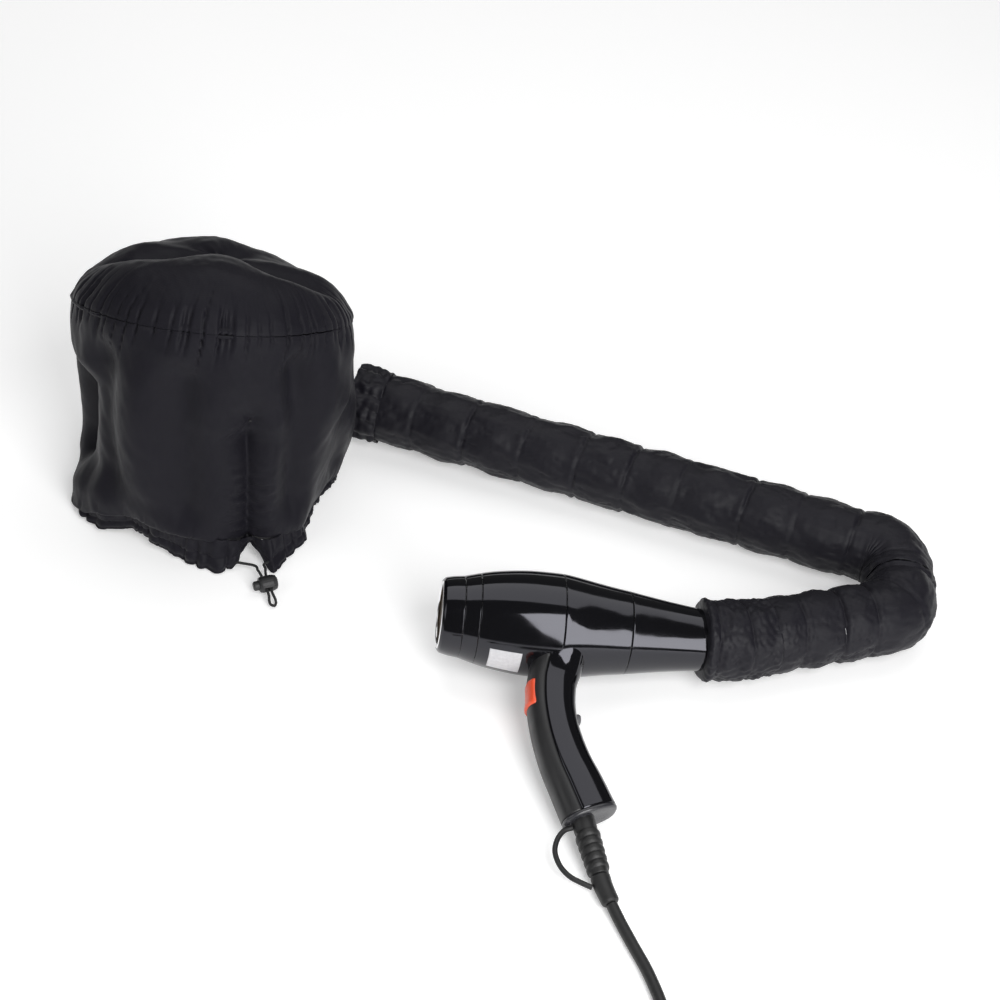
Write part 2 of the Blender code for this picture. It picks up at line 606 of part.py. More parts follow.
def cross_ring(x, reach, half=0.0004):
    """The outline of two crossed plates at one station along the barrel."""
    corners = [(reach, -half), (reach, half), (half, half), (half, reach), (-half, reach), (-half, half),
               (-reach, half), (-reach, -half), (-half, -half), (-half, -reach), (half, -reach),
               (half, -half)]
    return [Vector((x, y, z)) for y, z in corners]


def handle_way(index):
    """The direction down the handle at one station."""
    before = HANDLE_PATH[max(index - 1, 0)]
    after = HANDLE_PATH[min(index + 1, len(HANDLE_PATH) - 1)]
    return Vector((after[0] - before[0], 0, after[1] - before[1])).normalized()


def handle_ring(index, angles, shrink=0.0, slide=0.0):
    """A rounded rectangle across the handle. Angle 0 is its front edge, pi its rear edge."""
    x, z, wide, thick = HANDLE_PATH[index]
    way = handle_way(index)
    across = Vector((-way.z, 0, way.x))
    ring = []
    for a in angles:
        c, s = math.cos(a), math.sin(a)
        reach = (abs(c) ** 2.6 + abs(s) ** 2.6) ** (-1 / 2.6)
        ring.append(Vector((x, 0, z)) + across * (c * reach * (wide - shrink)) +
                    Vector((0, s * reach * (thick - shrink), 0)) + way * slide)
    return ring


def rear_zone(name, margin, dryer):
    """The space behind the handle's parting line, which runs down each side near the rear edge."""
    rings = []
    for i in range(len(HANDLE_PATH)):
        x, z, wide, _ = HANDLE_PATH[i]
        way = handle_way(i)
        across = Vector((-way.z, 0, way.x))
        edge = -wide * 0.62 - margin
        corners = [(-0.045, -0.03), (edge, -0.03), (edge, 0.03), (-0.045, 0.03)]
        slide = {0: -0.004, len(HANDLE_PATH) - 1: 0.004}.get(i, 0.0)
        rings.append([Vector((x, 0, z)) + across * a + Vector((0, b, 0)) + way * slide for a, b in corners])
    return cutter(add(name, loft(name, rings, ends=(True, True)), None, dryer, group=CUTTERS))


def make_handle(dryer, rocker, button):
    last = len(HANDLE_PATH) - 1
    skin = [handle_ring(i, around(24)) for i in range(last + 1)]
    shell = add("handle_shell", loft("handle_shell", skin), GLOSS, dryer)
    cover = add("handle_rear_cover", loft("handle_rear_cover", skin), MATT, dryer)
    form = [(0.0, 0.0600), (0.0350, 0.0600), (0.0366, 0.0420), (0.0390, 0.0280), (0.0416, 0.0140),
            (0.0428, 0.0050), (0.0435, -0.0010), (0.0436, -0.0260), (0.0426, -0.0370), (0.0410, -0.0500),
            (0.0, -0.0500)]
    barrel_form = cutter(turned("barrel_form", form, None, dryer, turn=ALONG_BARREL, steps=48, group=CUTTERS))
    for piece in (shell, cover):
        thicken(piece, 0.0020)
        cut(piece, barrel_form)
    cut(shell, rear_zone("shell_limit", -GAP / 2, dryer))
    cut(cover, rear_zone("cover_limit", GAP / 2, dryer), "INTERSECT")
    full = around(28)
    cap_rings = [handle_ring(last, full, 0.0002, GAP), handle_ring(last, full, 0.0002, 0.0022),
                 handle_ring(last, full, 0.0020, 0.0032)]
    cap = add("handle_end_cap", loft("handle_end_cap", cap_rings, ends=(True, True)), GREY, dryer)
    relief_turn = RELIEF_WAY.to_track_quat("Z", "Y").to_euler()
    bore = [(0.0, 0.030), (0.0094, 0.030), (0.0094, -0.010), (0.0, -0.010)]
    cut(cap, cutter(turned("relief_hole", bore, None, dryer, RELIEF_TOP, relief_turn, group=CUTTERS)))

    window = block("rocker_window", (0.0160, 0.0132, 0.0242), None, dryer, ROCKER_PIVOT, group=CUTTERS)
    cut(cover, cutter(window))
    block("rocker_switch", (0.0058, 0.0120, 0.0225), ORANGE, rocker, place=(-0.0022, 0, 0), bevel=0.0014)
    bore = [(0.0, 0.010), (0.0053, 0.010), (0.0053, -0.010), (0.0, -0.010)]
    port = turned("button_port", bore, None, dryer, BUTTON_AT, (0, math.pi / 2, 0), steps=24, group=CUTTERS)
    cut(shell, cutter(port))
    turned("cool_shot_button", [(0.0, 0.0028), (0.0036, 0.0026), (0.0048, 0.0014), (0.0048, -0.0040),
                                (0.0, -0.0040)], GREY, button, turn=(0, math.pi / 2, 0), steps=24)
    block("switch_block", (0.0110, 0.0180, 0.0300), MATT, dryer, place=(-0.0095, 0, -0.0735), bevel=0.0006)


def make_lead(dryer):
    """Strain relief, hanging loop, lead, its stored coil, tie and plug."""
    relief_turn = RELIEF_WAY.to_track_quat("Z", "Y").to_euler()
    ribs = [(0.0072, 0.0510)]
    for i in range(5):
        z = 0.0480 - i * 0.0062
        radius = 0.0082 + i * 0.0003
        groove = radius - 0.0014
        ribs += [(radius, z), (radius, z - 0.0036), (groove, z - 0.0044), (groove, z - 0.0056)]
    collar = [(0.0091, 0.0160), (0.0091, 0.0002), (0.0111, 0.0), (0.0111, -0.0022), (0.0, -0.0022)]
    profile = [(0.0, 0.0510)] + ribs + collar
    turned("strain_relief", profile, RUBBER, dryer, RELIEF_TOP, relief_turn, steps=14)
    tube("cord_sleeve", SLEEVE_ROUTE, 0.0070, RUBBER, swell=(1.0, 1.0, 0.98, 0.94), resolution=4)
    strap = smooth_route([(0.0090, 0, -0.1812), (0.0030, 0, -0.1842), (-0.0022, 0, -0.1920),
                          (-0.0040, 0, -0.2024), (-0.0002, 0, -0.2135), (0.0073, 0, -0.2215),
                          (0.0171, 0, -0.2262), (0.0240, 0, -0.2288)], 0.008)
    tube("hanging_loop", strap, 0.0019, RUBBER, dryer)

    tube("mains_lead", smooth_route(LEAD_ROUTE, 0.011), LEAD_RADIUS, RUBBER, resolution=2)
    r, w = COIL_RADIUS, COIL_HALF_WIDTH
    chamfer = 0.0035
    ring = [(r + w - chamfer, COIL_TOP), (r + w, COIL_TOP - chamfer), (r + w, COIL_BOTTOM + chamfer),
            (r + w - chamfer, COIL_BOTTOM), (r - w + chamfer, COIL_BOTTOM), (r - w, COIL_BOTTOM + chamfer),
            (r - w, COIL_TOP - chamfer), (r - w + chamfer, COIL_TOP)]
    turned("lead_coil", ring, RUBBER, place=COIL_CENTRE, steps=32)
    height = COIL_TOP - COIL_BOTTOM
    middle = COIL_CENTRE + Vector((-r, 0, (COIL_TOP + COIL_BOTTOM) / 2))
    tie = block("lead_tie", (2 * w + 0.0026, 0.0080, height + 0.0026), MATT, place=middle)
    inside = block("tie_inside", (2 * w + 0.0008, 0.0200, height + 0.0008), None, place=middle, group=CUTTERS)
    cut(tie, cutter(inside))
    tube("lead_tail", smooth_route(TAIL_ROUTE, 0.011), LEAD_RADIUS, RUBBER, resolution=2)
    make_plug()


def make_plug():
    stations = [(0.0, 0.0052, 0.0052), (0.014, 0.0062, 0.0062), (0.020, 0.0085, 0.0080),
                (0.030, 0.0150, 0.0115), (0.044, 0.0178, 0.0130), (0.050, 0.0180, 0.0130)]
    rings = []
    for along, wide, tall in stations:
        section = [Vector((-along, wide * math.cos(a), tall * math.sin(a))) for a in around(20)]
        rings.append([PLUG_START + point for point in section])
    add("plug_body", loft("plug_body", rings, ends=(True, True)), RUBBER)
    for name, side in (("plug_pin_a", 0.0095), ("plug_pin_b", -0.0095)):
        place = PLUG_START + Vector((-0.0500 - GAP, side, 0))
        turned(name, [(0.0, 0.0190), (0.0014, 0.0190), (0.0024, 0.0176), (0.0024, 0.0), (0.0, 0.0)], BRASS,
               place=place, turn=(0, -math.pi / 2, 0), steps=12)


def make_fittings(dryer):
    """The blank rating label on the barrel, and the two screws that close the handle from below."""
    middle, width, arc = -0.0450, 0.0260, math.radians(16)
    rows = []
    for i in range(4):
        along = middle + width * (i / 3 - 0.5)
        radius = 0.0421 + (along - middle) * 0.11
        rows.append([Vector((along, radius * math.cos(a), radius * math.sin(a)))
                     for a in around(7, math.radians(-94) - arc, math.radians(-94) + arc, closed=False)])
    sheet = loft("blank_label", rows, closed=False, inside=Vector((middle, 0, 0)))
    label = add("blank_label", sheet, PAPER, dryer)
    thicken(label, 0.0002)
    shell = bpy.data.objects["handle_shell"]
    bore = [(0.0, 0.004), (0.0029, 0.004), (0.0029, -0.006), (0.0, -0.006)]
    screw = [(0.0, -0.0008), (0.0022, -0.0010), (0.0025, -0.0016), (0.0025, -0.0028), (0.0012, -0.0032),
             (0.0012, -0.0110), (0.0, -0.0114)]
    for name, station in (("handle_screw_upper", 4), ("handle_screw_lower", 7)):
        x, z, _, thick = HANDLE_PATH[station]
        place = (x, thick, z)
        down = (-math.pi / 2, 0, 0)
        hole = turned(name + "_hole", bore, None, dryer, place, down, steps=16, group=CUTTERS)
        cut(shell, cutter(hole))
        turned(name, screw, STEEL, dryer, place, down, steps=16)


def main():
    dryer = bpy.data.objects.new("dryer_frame", None)
    PARTS.objects.link(dryer)
    dryer.location = DRYER_ORIGIN
    dryer.rotation_euler = DRYER_TURN
    names = ("rotor_axis", "rocker_axis", "button_axis")
    rotor, rocker, button = (bpy.data.objects.new(name, None) for name in names)
    for axis, place in ((rotor, (0, 0, 0)), (rocker, ROCKER_PIVOT), (button, BUTTON_AT)):
        PARTS.objects.link(axis)
        axis.parent = dryer
        axis.location = place
    bpy.context.view_layer.update()
    make_hood()
    make_hose()
    make_barrel(dryer)
    make_inside(dryer, rotor)
    make_handle(dryer, rocker, button)
    make_lead(dryer)
    make_fittings(dryer)


for old in list(bpy.data.objects):
    bpy.data.objects.remove(old)
PARTS = collection("hood_hair_dryer")
CUTTERS = collection("cutters")
NYLON = material("black nylon", (0.020, 0.020, 0.022), 0.55)
LINING = material("black lining mesh", (0.030, 0.030, 0.032), 0.8)
STRING = material("black string", (0.022, 0.022, 0.024), 0.7)
PLASTIC = material("black plastic", (0.030, 0.030, 0.032), 0.45)
GLOSS = material("gloss black", (0.010, 0.010, 0.011), 0.08)
MATT = material("matt black", (0.028, 0.028, 0.030), 0.5)
GREY = material("dark grey", (0.10, 0.10, 0.11), 0.4)
ORANGE = material("orange red", (0.85, 0.10, 0.02), 0.35)
MESH = material("bronze mesh", (0.22, 0.15, 0.09), 0.4, 0.8)
CHROME = material("chrome", (0.80, 0.80, 0.80), 0.12, 1.0)
STEEL = material("steel", (0.55, 0.55, 0.56), 0.3, 1.0)
BRASS = material("brass", (0.70, 0.50, 0.25), 0.3, 1.0)
MICA = material("mica", (0.60, 0.52, 0.38), 0.6)
PAPER = material("label paper", (0.80, 0.80, 0.80), 0.5)
RUBBER = material("black rubber", (0.025, 0.025, 0.026), 0.6)
main()
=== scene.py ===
"""Looks of the hood hair dryer: a soft bonnet hood, its flexible air hose and the handheld blow-dryer.

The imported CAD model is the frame. The pieces here are its fine surfaces, in metres, in the same place.
"""
import bmesh
import bpy
import json
import math
import numpy as np
from mathutils import Euler, Matrix, Vector


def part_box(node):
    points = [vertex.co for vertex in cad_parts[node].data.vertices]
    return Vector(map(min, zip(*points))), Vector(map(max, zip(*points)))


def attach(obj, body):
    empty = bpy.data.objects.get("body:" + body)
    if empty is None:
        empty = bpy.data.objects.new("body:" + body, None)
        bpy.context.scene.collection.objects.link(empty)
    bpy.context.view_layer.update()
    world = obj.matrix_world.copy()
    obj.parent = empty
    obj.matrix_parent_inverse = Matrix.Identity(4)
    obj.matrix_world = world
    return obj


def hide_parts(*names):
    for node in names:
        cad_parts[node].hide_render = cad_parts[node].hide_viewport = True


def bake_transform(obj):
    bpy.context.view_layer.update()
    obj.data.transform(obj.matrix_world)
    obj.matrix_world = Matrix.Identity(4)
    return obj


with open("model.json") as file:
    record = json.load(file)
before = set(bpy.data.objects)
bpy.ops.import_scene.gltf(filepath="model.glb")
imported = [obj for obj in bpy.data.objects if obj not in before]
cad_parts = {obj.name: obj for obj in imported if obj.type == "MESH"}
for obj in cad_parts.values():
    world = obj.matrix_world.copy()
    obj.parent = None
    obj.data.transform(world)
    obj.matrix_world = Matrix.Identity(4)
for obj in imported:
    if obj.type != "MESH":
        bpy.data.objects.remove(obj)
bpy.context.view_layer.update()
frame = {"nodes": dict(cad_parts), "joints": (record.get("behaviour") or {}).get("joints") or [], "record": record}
JOINTS = {joint["name"]: joint for joint in frame["joints"]}

# Camera
TILT = math.radians(44.0)
ROLL = math.radians(6.5)
DISTANCE = 1.636
TARGET = Vector((0.0, 0.150, 0.0))
LENS = 64.8                       # mm
SENSOR = 36                       # mm

# Light: name, place, target, size, watts
LIGHTS = [("overhead", (0, 1.3, 2.4), (0, 0.2, 0), (3.2, 2.4), 34),
          ("front", (0.80, -1.29, 1.16), (0.10, -0.04, 0.05), (0.9, 2.2), 40),
          ("side", (-1.9, -0.9, 1.5), (-0.2, 0.1, 0.05), (1.4, 1.4), 9)]
BACKDROP_GLOW = 0.08
FLOOR_GLOW = 0.32
FLOOR_HALF_SIDE = 12.0

# Hood, as in the CAD
RIM_CENTRE = np.array((-0.255, 0.147, 0.0))
RIM_RADIUS = 0.119
SEAM_CENTRE = np.array((-0.258, 0.156, 0.184))
SEAM_HALF_WIDTH = 0.121
SEAM_HALF_DEPTH = 0.105
CROWN_LEAN = math.radians(25)
CROWN_UP = np.array((0.0, math.sin(CROWN_LEAN), math.cos(CROWN_LEAN)))
CROWN_BACK = np.array((0.0, math.cos(CROWN_LEAN), -math.sin(CROWN_LEAN)))
STRING_GATE = math.radians(-64.5)
FRONT_SEAM = math.radians(293.3)
LOCK_REACH = 0.0350
LOCK_HEIGHT = 0.0078

# Hose
HOSE_RADIUS = 0.031
FLOOR_GAP = 0.0010                # from the table to the fabric that lies on it
HOSE_START = [(-0.190, 0.226, 0.0355), (-0.150, 0.2265, 0.0350), (-0.115, 0.2200, 0.0335)]
FIRST_BEND = Vector(JOINTS["hose_first_bend"]["pos_m"])
SECOND_BEND = Vector(JOINTS["hose_second_bend"]["pos_m"])
BEND_REACH = 0.0285
LOWER_ROUTE = [(0.262, 0.0012, 0.0320), (0.235, -0.0095, 0.0328), (0.205, -0.0200, 0.0343)]
CUFF_MOUTH = (0.1773, -0.0251, 0.0357)
CUFF_RADIUS = 0.0322
WIRE_PITCH_UPPER = 0.050
WIRE_PITCH_LOWER = 0.031

# Dryer: its own frame has +X along the barrel to the nozzle and -Z down the handle
DRYER = Matrix.Translation((0.0597, -0.0353, 0.0440)) @ Euler(
    (math.radians(-81.4), math.radians(4.1), math.radians(4.94))).to_matrix().to_4x4()
SHELL = 0.0022
CAP_END = -0.0985
CAP_FRONT = -0.0812
SEAT_FRONT = -0.0685
HOUSING_SEAM = -0.0010
NOZZLE_SEAM = 0.0555
NOZZLE_TIP = 0.1480
HANDLE_ROOT = np.array([          # x, z, half width, half thickness where the handle meets the barrel
    (0.0000, -0.0240, 0.0225, 0.0285),
    (-0.0008, -0.0310, 0.0218, 0.0258),
    (-0.0022, -0.0380, 0.0212, 0.0218),
    (-0.0040, -0.0450, 0.0207, 0.0187),
    (-0.0055, -0.0520, 0.0201, 0.0171),
])
HANDLE_PATH = np.array([          # the same, further down the handle
    (-0.0067, -0.0600, 0.0198, 0.0165),
    (-0.0068, -0.0780, 0.0194, 0.0164),
    (-0.0045, -0.0960, 0.0194, 0.0163),
    (-0.0003, -0.1130, 0.0199, 0.0160),
    (0.0055, -0.1300, 0.0207, 0.0158),
    (0.0130, -0.1470, 0.0217, 0.0156),
    (0.0222, -0.1690, 0.0225, 0.0154),
])
LABEL_THICKNESS = 0.00035
ROCKER_PIVOT = Vector((-0.0235, 0.0, -0.0705))
BUTTON_AT = Vector((0.0140, 0.0, -0.0870))
RELIEF_TOP = Vector((0.0160, 0.0, -0.1690))
RELIEF_WAY = Vector((0.270, 0.0, -0.963))

# Mains lead
LEAD_DIAMETER = 0.009
SLEEVE_ROUTE = [(0.1057, -0.2485, 0.0092), (0.1084, -0.2558, 0.0082), (0.1118, -0.2631, 0.0075),
                (0.1155, -0.2705, 0.0072)]
LEAD_ROUTE = [(0.1158, -0.2711, 0.0069), (0.1225, -0.2840, 0.0056), (0.1325, -0.3020, 0.0049),
              (0.1440, -0.3230, 0.0048), (0.1540, -0.3470, 0.0048), (0.1622, -0.3730, 0.0048),
              (0.1662, -0.3930, 0.0048), (0.1675, -0.4105, 0.0048)]
COIL_CENTRE = Vector((0.109, -0.445, 0.0))
COIL_RADIUS = 0.0495
COIL_TURNS = 7.25
COIL_STEPS = 40                   # route points in each turn
TAIL_ROUTE = [(0.0566, -0.4855, 0.0222), (0.0440, -0.4855, 0.0206), (0.0310, -0.4855, 0.0180),
              (0.0180, -0.4855, 0.0154), (0.0060, -0.4855, 0.0139), (-0.0060, -0.4855, 0.0135)]


# ---------------------------------------------------------------- geometry helpers

def smooth_route(points, spacing):
    """Points about spacing apart on a Catmull-Rom curve through the given ones."""
    nodes = [Vector(p) for p in points]
    nodes = [nodes[0] * 2 - nodes[1]] + nodes + [nodes[-1] * 2 - nodes[-2]]
    route = []
    for a, b, c, d in zip(nodes, nodes[1:], nodes[2:], nodes[3:]):
        count = max(1, round((c - b).length / spacing))
        for i in range(count):
            t = i / count
            route.append(0.5 * (2 * b + (c - a) * t + (2 * a - 5 * b + 4 * c - d) * t * t
                                + (3 * b - a - 3 * c + d) * t ** 3))
    return route + [nodes[-2]]


def smoothstep(value):
    t = np.clip(value, 0.0, 1.0)
    return t * t * (3 - 2 * t)


def hump(distance, width):
    """1 at distance 0, falling smoothly to 0 at about twice the width."""
    return np.exp(-(distance / width) ** 2)


def angle_gap(a, b):
    """The signed angle from b to a, within half a turn."""
    return (a - b + math.pi) % (2 * math.pi) - math.pi


def round_table(angles, stops):
    """Values at angles, eased between (degrees, value) stops round the circle."""
    stops = sorted((degrees % 360, value) for degrees, value in stops)
    stops = [(stops[-1][0] - 360, stops[-1][1])] + stops + [(stops[0][0] + 360, stops[0][1])]
    at = np.degrees(angles) % 360
    result = np.zeros_like(at)
    for (low, first), (high, last) in zip(stops, stops[1:]):
        share = smoothstep((at - low) / (high - low))
        result = np.where((at >= low) & (at < high), first + (last - first) * share, result)
    return result


def waves(points, seed, lengths, count=22):
    """Smooth noise of about unit size: seeded plane waves, with wavelengths about the given lengths."""
    draw = np.random.RandomState(seed)
    total = np.zeros(points.shape[:-1])
    for _ in range(count):
        way = draw.normal(size=3) * 2 * math.pi / np.array(lengths)
        total += np.cos(points @ way + draw.uniform(0, 2 * math.pi))
    return total / math.sqrt(count / 2)


def creases(points, seed, lengths, sharpness=0.16):
    """1 along thin wandering lines, 0 between them."""
    return np.exp(-(waves(points, seed, lengths) / sharpness) ** 2)


def skin(name, rows, look, closed=True, wall=0.0, caps=False, smooth=True):
    """A surface of quads through rows of points, which go round anticlockwise seen from the rows' far end."""
    rows = np.asarray(rows, float)
    count, around = rows.shape[:2]
    index = np.arange(count * around).reshape(count, around)
    after = np.roll(index, -1, axis=1)
    if not closed:
        index, after = index[:, :-1], after[:, :-1]
    quads = np.stack([index[:-1], after[:-1], after[1:], index[1:]], axis=-1).reshape(-1, 4)
    faces = [tuple(int(i) for i in quad) for quad in quads]
    if caps:
        faces.append(tuple(range(around - 1, -1, -1)))
        faces.append(tuple((count - 1) * around + i for i in range(around)))
    mesh = bpy.data.meshes.new(name)
    mesh.from_pydata([tuple(p) for p in rows.reshape(-1, 3)], [], faces)
    mesh.materials.append(look)
    if smooth:
        mesh.shade_smooth()
    piece = bpy.data.objects.new(name, mesh)
    bpy.context.scene.collection.objects.link(piece)
    if wall:
        thick = piece.modifiers.new("wall", "SOLIDIFY")
        thick.thickness = wall
        thick.offset = -1.0
    return piece


def put(piece, body, replaced=(), place=None):
    """Places the piece, lets it ride on a CAD body, and hides the CAD nodes it stands for."""
    if place:
        piece.matrix_world = place
    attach(piece, body)
    if replaced:
        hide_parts(*replaced)
    return piece


def tube_rows(centres, radius, sides=48):
    """Rings about a mostly level route. radius is a number, or a function of ring positions and angles."""
    centres = np.array([tuple(c) for c in centres], float)
    way = np.gradient(centres, axis=0)
    way /= np.linalg.norm(way, axis=1)[:, None]
    side = np.stack([-way[:, 1], way[:, 0], np.zeros(len(way))], axis=1)
    side /= np.linalg.norm(side, axis=1)[:, None]
    above = np.cross(way, side)
    angle = np.linspace(0, 2 * math.pi, sides, endpoint=False)
    spokes = side[:, None] * np.cos(angle)[None, :, None] + above[:, None] * np.sin(angle)[None, :, None]
    if callable(radius):
        radius = radius(centres, angle, spokes)
    return centres[:, None] + spokes * (radius[..., None] if hasattr(radius, "shape") else radius)


def wire(name, points, radius, look, cyclic=False, sides=3):
    data = bpy.data.curves.new(name, "CURVE")
    data.dimensions = "3D"
    data.bevel_depth = radius
    data.bevel_resolution = sides
    data.use_fill_caps = not cyclic
    spline = data.splines.new("POLY")
    spline.points.add(len(points) - 1)
    for target, point in zip(spline.points, points):
        target.co = (*point, 1.0)
    spline.use_cyclic_u = cyclic
    spline.use_smooth = True
    data.materials.append(look)
    piece = bpy.data.objects.new(name, data)
    bpy.context.scene.collection.objects.link(piece)
    return piece


# ---------------------------------------------------------------- materials

class Shader:
    """A Principled material with its node tree at hand."""

    def __init__(self, name, colour, roughness, metallic=0.0, **sockets):
        self.material = bpy.data.materials.new(name)
        self.material.use_nodes = True
        self.tree = self.material.node_tree
        self.main = self.tree.nodes["Principled BSDF"]
        self.set("Base Color", (*colour, 1.0))
        self.set("Roughness", roughness)
        self.set("Metallic", metallic)
        for socket, value in sockets.items():
            self.set(socket.replace("_", " "), value)
        self.coordinates = self.tree.nodes.new("ShaderNodeTexCoord").outputs["Object"]
        self.bumped = None

    def set(self, socket, value):
        self.main.inputs[socket].default_value = value

    def node(self, kind, **settings):
        made = self.tree.nodes.new("ShaderNode" + kind)
        for key, value in settings.items():
            setattr(made, key, value)
        return made

    def link(self, output, node, socket):
        self.tree.links.new(output, node.inputs[socket])

    def noise(self, scale, detail=3.0, stretch=(1, 1, 1), roughness=0.55):
        spread = self.node("Mapping")
        spread.inputs["Scale"].default_value = stretch
        self.link(self.coordinates, spread, "Vector")
        made = self.node("TexNoise")
        made.inputs["Scale"].default_value = scale
        made.inputs["Detail"].default_value = detail
        made.inputs["Roughness"].default_value = roughness
        self.link(spread.outputs["Vector"], made, "Vector")
        return made.outputs["Fac"]

    def threads(self, scale, turn):
        """Parallel threads in one direction, as a soft wave."""
        spin = self.node("Mapping")
        spin.inputs["Rotation"].default_value = turn
        self.link(self.coordinates, spin, "Vector")
        made = self.node("TexWave", wave_type="BANDS", bands_direction="X")
        made.inputs["Scale"].default_value = scale
        made.inputs["Distortion"].default_value = 0.6
        made.inputs["Detail"].default_value = 1.0
        self.link(spin.outputs["Vector"], made, "Vector")
        return made.outputs["Fac"]

    def ramp(self, factor, low, high, first, last):
        """Maps factor from low..high to first..last."""
        made = self.node("MapRange")
        for socket, value in (("From Min", low), ("From Max", high), ("To Min", first), ("To Max", last)):
            made.inputs[socket].default_value = value
        self.link(factor, made, "Value")
        return made.outputs["Result"]

    def times(self, a, b):
        made = self.node("Math", operation="MULTIPLY")
        self.link(a, made, 0)
        self.link(b, made, 1)
        return made.outputs[0]

    def bump(self, height, distance, strength=1.0):
        made = self.node("Bump")
        made.inputs["Strength"].default_value = strength
        made.inputs["Distance"].default_value = distance
        self.link(height, made, "Height")
        if self.bumped:
            self.link(self.bumped, made, "Normal")
        self.bumped = made.outputs["Normal"]
        self.link(self.bumped, self.main, "Normal")

    def vary_colour(self, factor, first, last):
        made = self.node("Mix", data_type="RGBA")
        made.inputs["A"].default_value = (*first, 1.0)
        made.inputs["B"].default_value = (*last, 1.0)
        for socket in made.inputs:
            if socket.identifier == "A_Color":
                socket.default_value = (*first, 1.0)
            if socket.identifier == "B_Color":
                socket.default_value = (*last, 1.0)
            if socket.identifier == "Factor_Float":
                self.tree.links.new(factor, socket)
        output = [o for o in made.outputs if o.identifier == "Result_Color"][0]
        self.link(output, self.main, "Base Color")

    def vary_roughness(self, factor, first, last, low=0.3, high=0.7):
        self.link(self.ramp(factor, low, high, first, last), self.main, "Roughness")


def nylon(name, crinkle=0.0004, crinkle_scale=34.0, gloss=0.11):
    """Thin black woven nylon: fine crossed threads, small crumples, a soft sheen."""
    cloth = Shader(name, (0.009, 0.0087, 0.012), 0.5, Specular_IOR_Level=gloss, Sheen_Weight=0.02,
                   Sheen_Roughness=0.4)
    cloth.vary_colour(cloth.noise(9.0, 4.0), (0.0078, 0.0073, 0.0105), (0.0122, 0.0115, 0.0162))
    cloth.vary_roughness(cloth.noise(30.0, 3.0), 0.42, 0.58)
    cloth.bump(cloth.noise(crinkle_scale, 3.0), crinkle, 0.55)
    weave = cloth.times(cloth.threads(420.0, (0, 0, 0)), cloth.threads(420.0, (0.3, math.pi / 2, 0.2)))
    cloth.bump(weave, 0.00012, 0.5)
    return cloth.material


def hose_nylon():
    """The hose's crumpled nylon."""
    return nylon("hose nylon", 0.0013, 44.0, 0.20)


def binding_tape():
    """Matt woven tape with a twill rib."""
    tape = Shader("black tape", (0.015, 0.015, 0.016), 0.72)
    tape.vary_colour(tape.noise(24.0, 3.0), (0.011, 0.011, 0.012), (0.021, 0.021, 0.022))
    tape.bump(tape.threads(300.0, (0, 0, math.pi / 4)), 0.0002, 0.6)
    return tape.material


def lining_cloth():
    lining = Shader("black lining", (0.026, 0.026, 0.028), 0.82, Sheen_Weight=0.2)
    lining.vary_colour(lining.noise(14.0, 4.0), (0.020, 0.020, 0.022), (0.033, 0.033, 0.035))
    weave = lining.times(lining.threads(260.0, (0, 0, 0)), lining.threads(260.0, (0, math.pi / 2, 0)))
    lining.bump(weave, 0.0003, 0.7)
    lining.bump(lining.noise(40.0, 3.0), 0.0012, 0.5)
    return lining.material


def braid():
    """Round braided cord."""
    cord = Shader("braided string", (0.011, 0.011, 0.012), 0.7)
    plait = cord.times(cord.threads(620.0, (0, 0.8, 0.7)), cord.threads(620.0, (0, -0.8, -0.7)))
    cord.bump(plait, 0.0004, 0.9)
    cord.vary_colour(cord.noise(160.0), (0.011, 0.011, 0.012), (0.023, 0.023, 0.024))
    return cord.material


def gloss_black():
    """Polished black plastic with faint handling marks."""
    gloss = Shader("gloss black", (0.003, 0.003, 0.0036), 0.07, Specular_IOR_Level=0.55,
                   Specular_Tint=(0.90, 0.90, 1.0, 1.0))
    marks = gloss.noise(18.0, 5.0, (1, 1, 2.5), 0.7)
    gloss.vary_roughness(marks, 0.055, 0.15, 0.35, 0.75)
    gloss.vary_colour(gloss.noise(7.0, 2.0), (0.0022, 0.0022, 0.0028), (0.0042, 0.0042, 0.0052))
    gloss.bump(gloss.noise(26.0, 2.0), 0.00025, 0.18)
    return gloss.material


def moulded(name, colour, roughness, grain=0.00012, scale=900.0):
    """Moulded plastic or rubber with a fine even grain and a little wear."""
    plastic = Shader(name, colour, roughness)
    darker = tuple(c * 0.78 for c in colour)
    lighter = tuple(c * 1.25 for c in colour)
    plastic.vary_colour(plastic.noise(35.0, 5.0), darker, lighter)
    plastic.vary_roughness(plastic.noise(60.0, 4.0), roughness - 0.08, roughness + 0.08)
    plastic.bump(plastic.noise(scale, 2.0), grain, 0.6)
    return plastic.material


def metal(name, colour, roughness, stretch=(1, 1, 1)):
    steel = Shader(name, colour, roughness, 1.0)
    steel.vary_roughness(steel.noise(220.0, 3.0, stretch), roughness * 0.8, roughness * 1.3)
    steel.bump(steel.noise(500.0, 2.0, stretch), 0.00004, 0.5)
    return steel.material


def intake_weave():
    """Bronze-coloured wire mesh: a grid of fine wires over dark gaps."""
    mesh = Shader("bronze mesh", (0.13, 0.095, 0.060), 0.42, 0.75)
    across = mesh.threads(230.0, (0, 0, math.pi / 2))
    down = mesh.threads(230.0, (0, math.pi / 2, 0))
    grid = mesh.times(across, down)
    mesh.vary_colour(mesh.ramp(grid, 0.15, 0.6, 0.0, 1.0), (0.020, 0.014, 0.010), (0.26, 0.185, 0.115))
    mesh.bump(grid, 0.0006, 0.9)
    return mesh.material


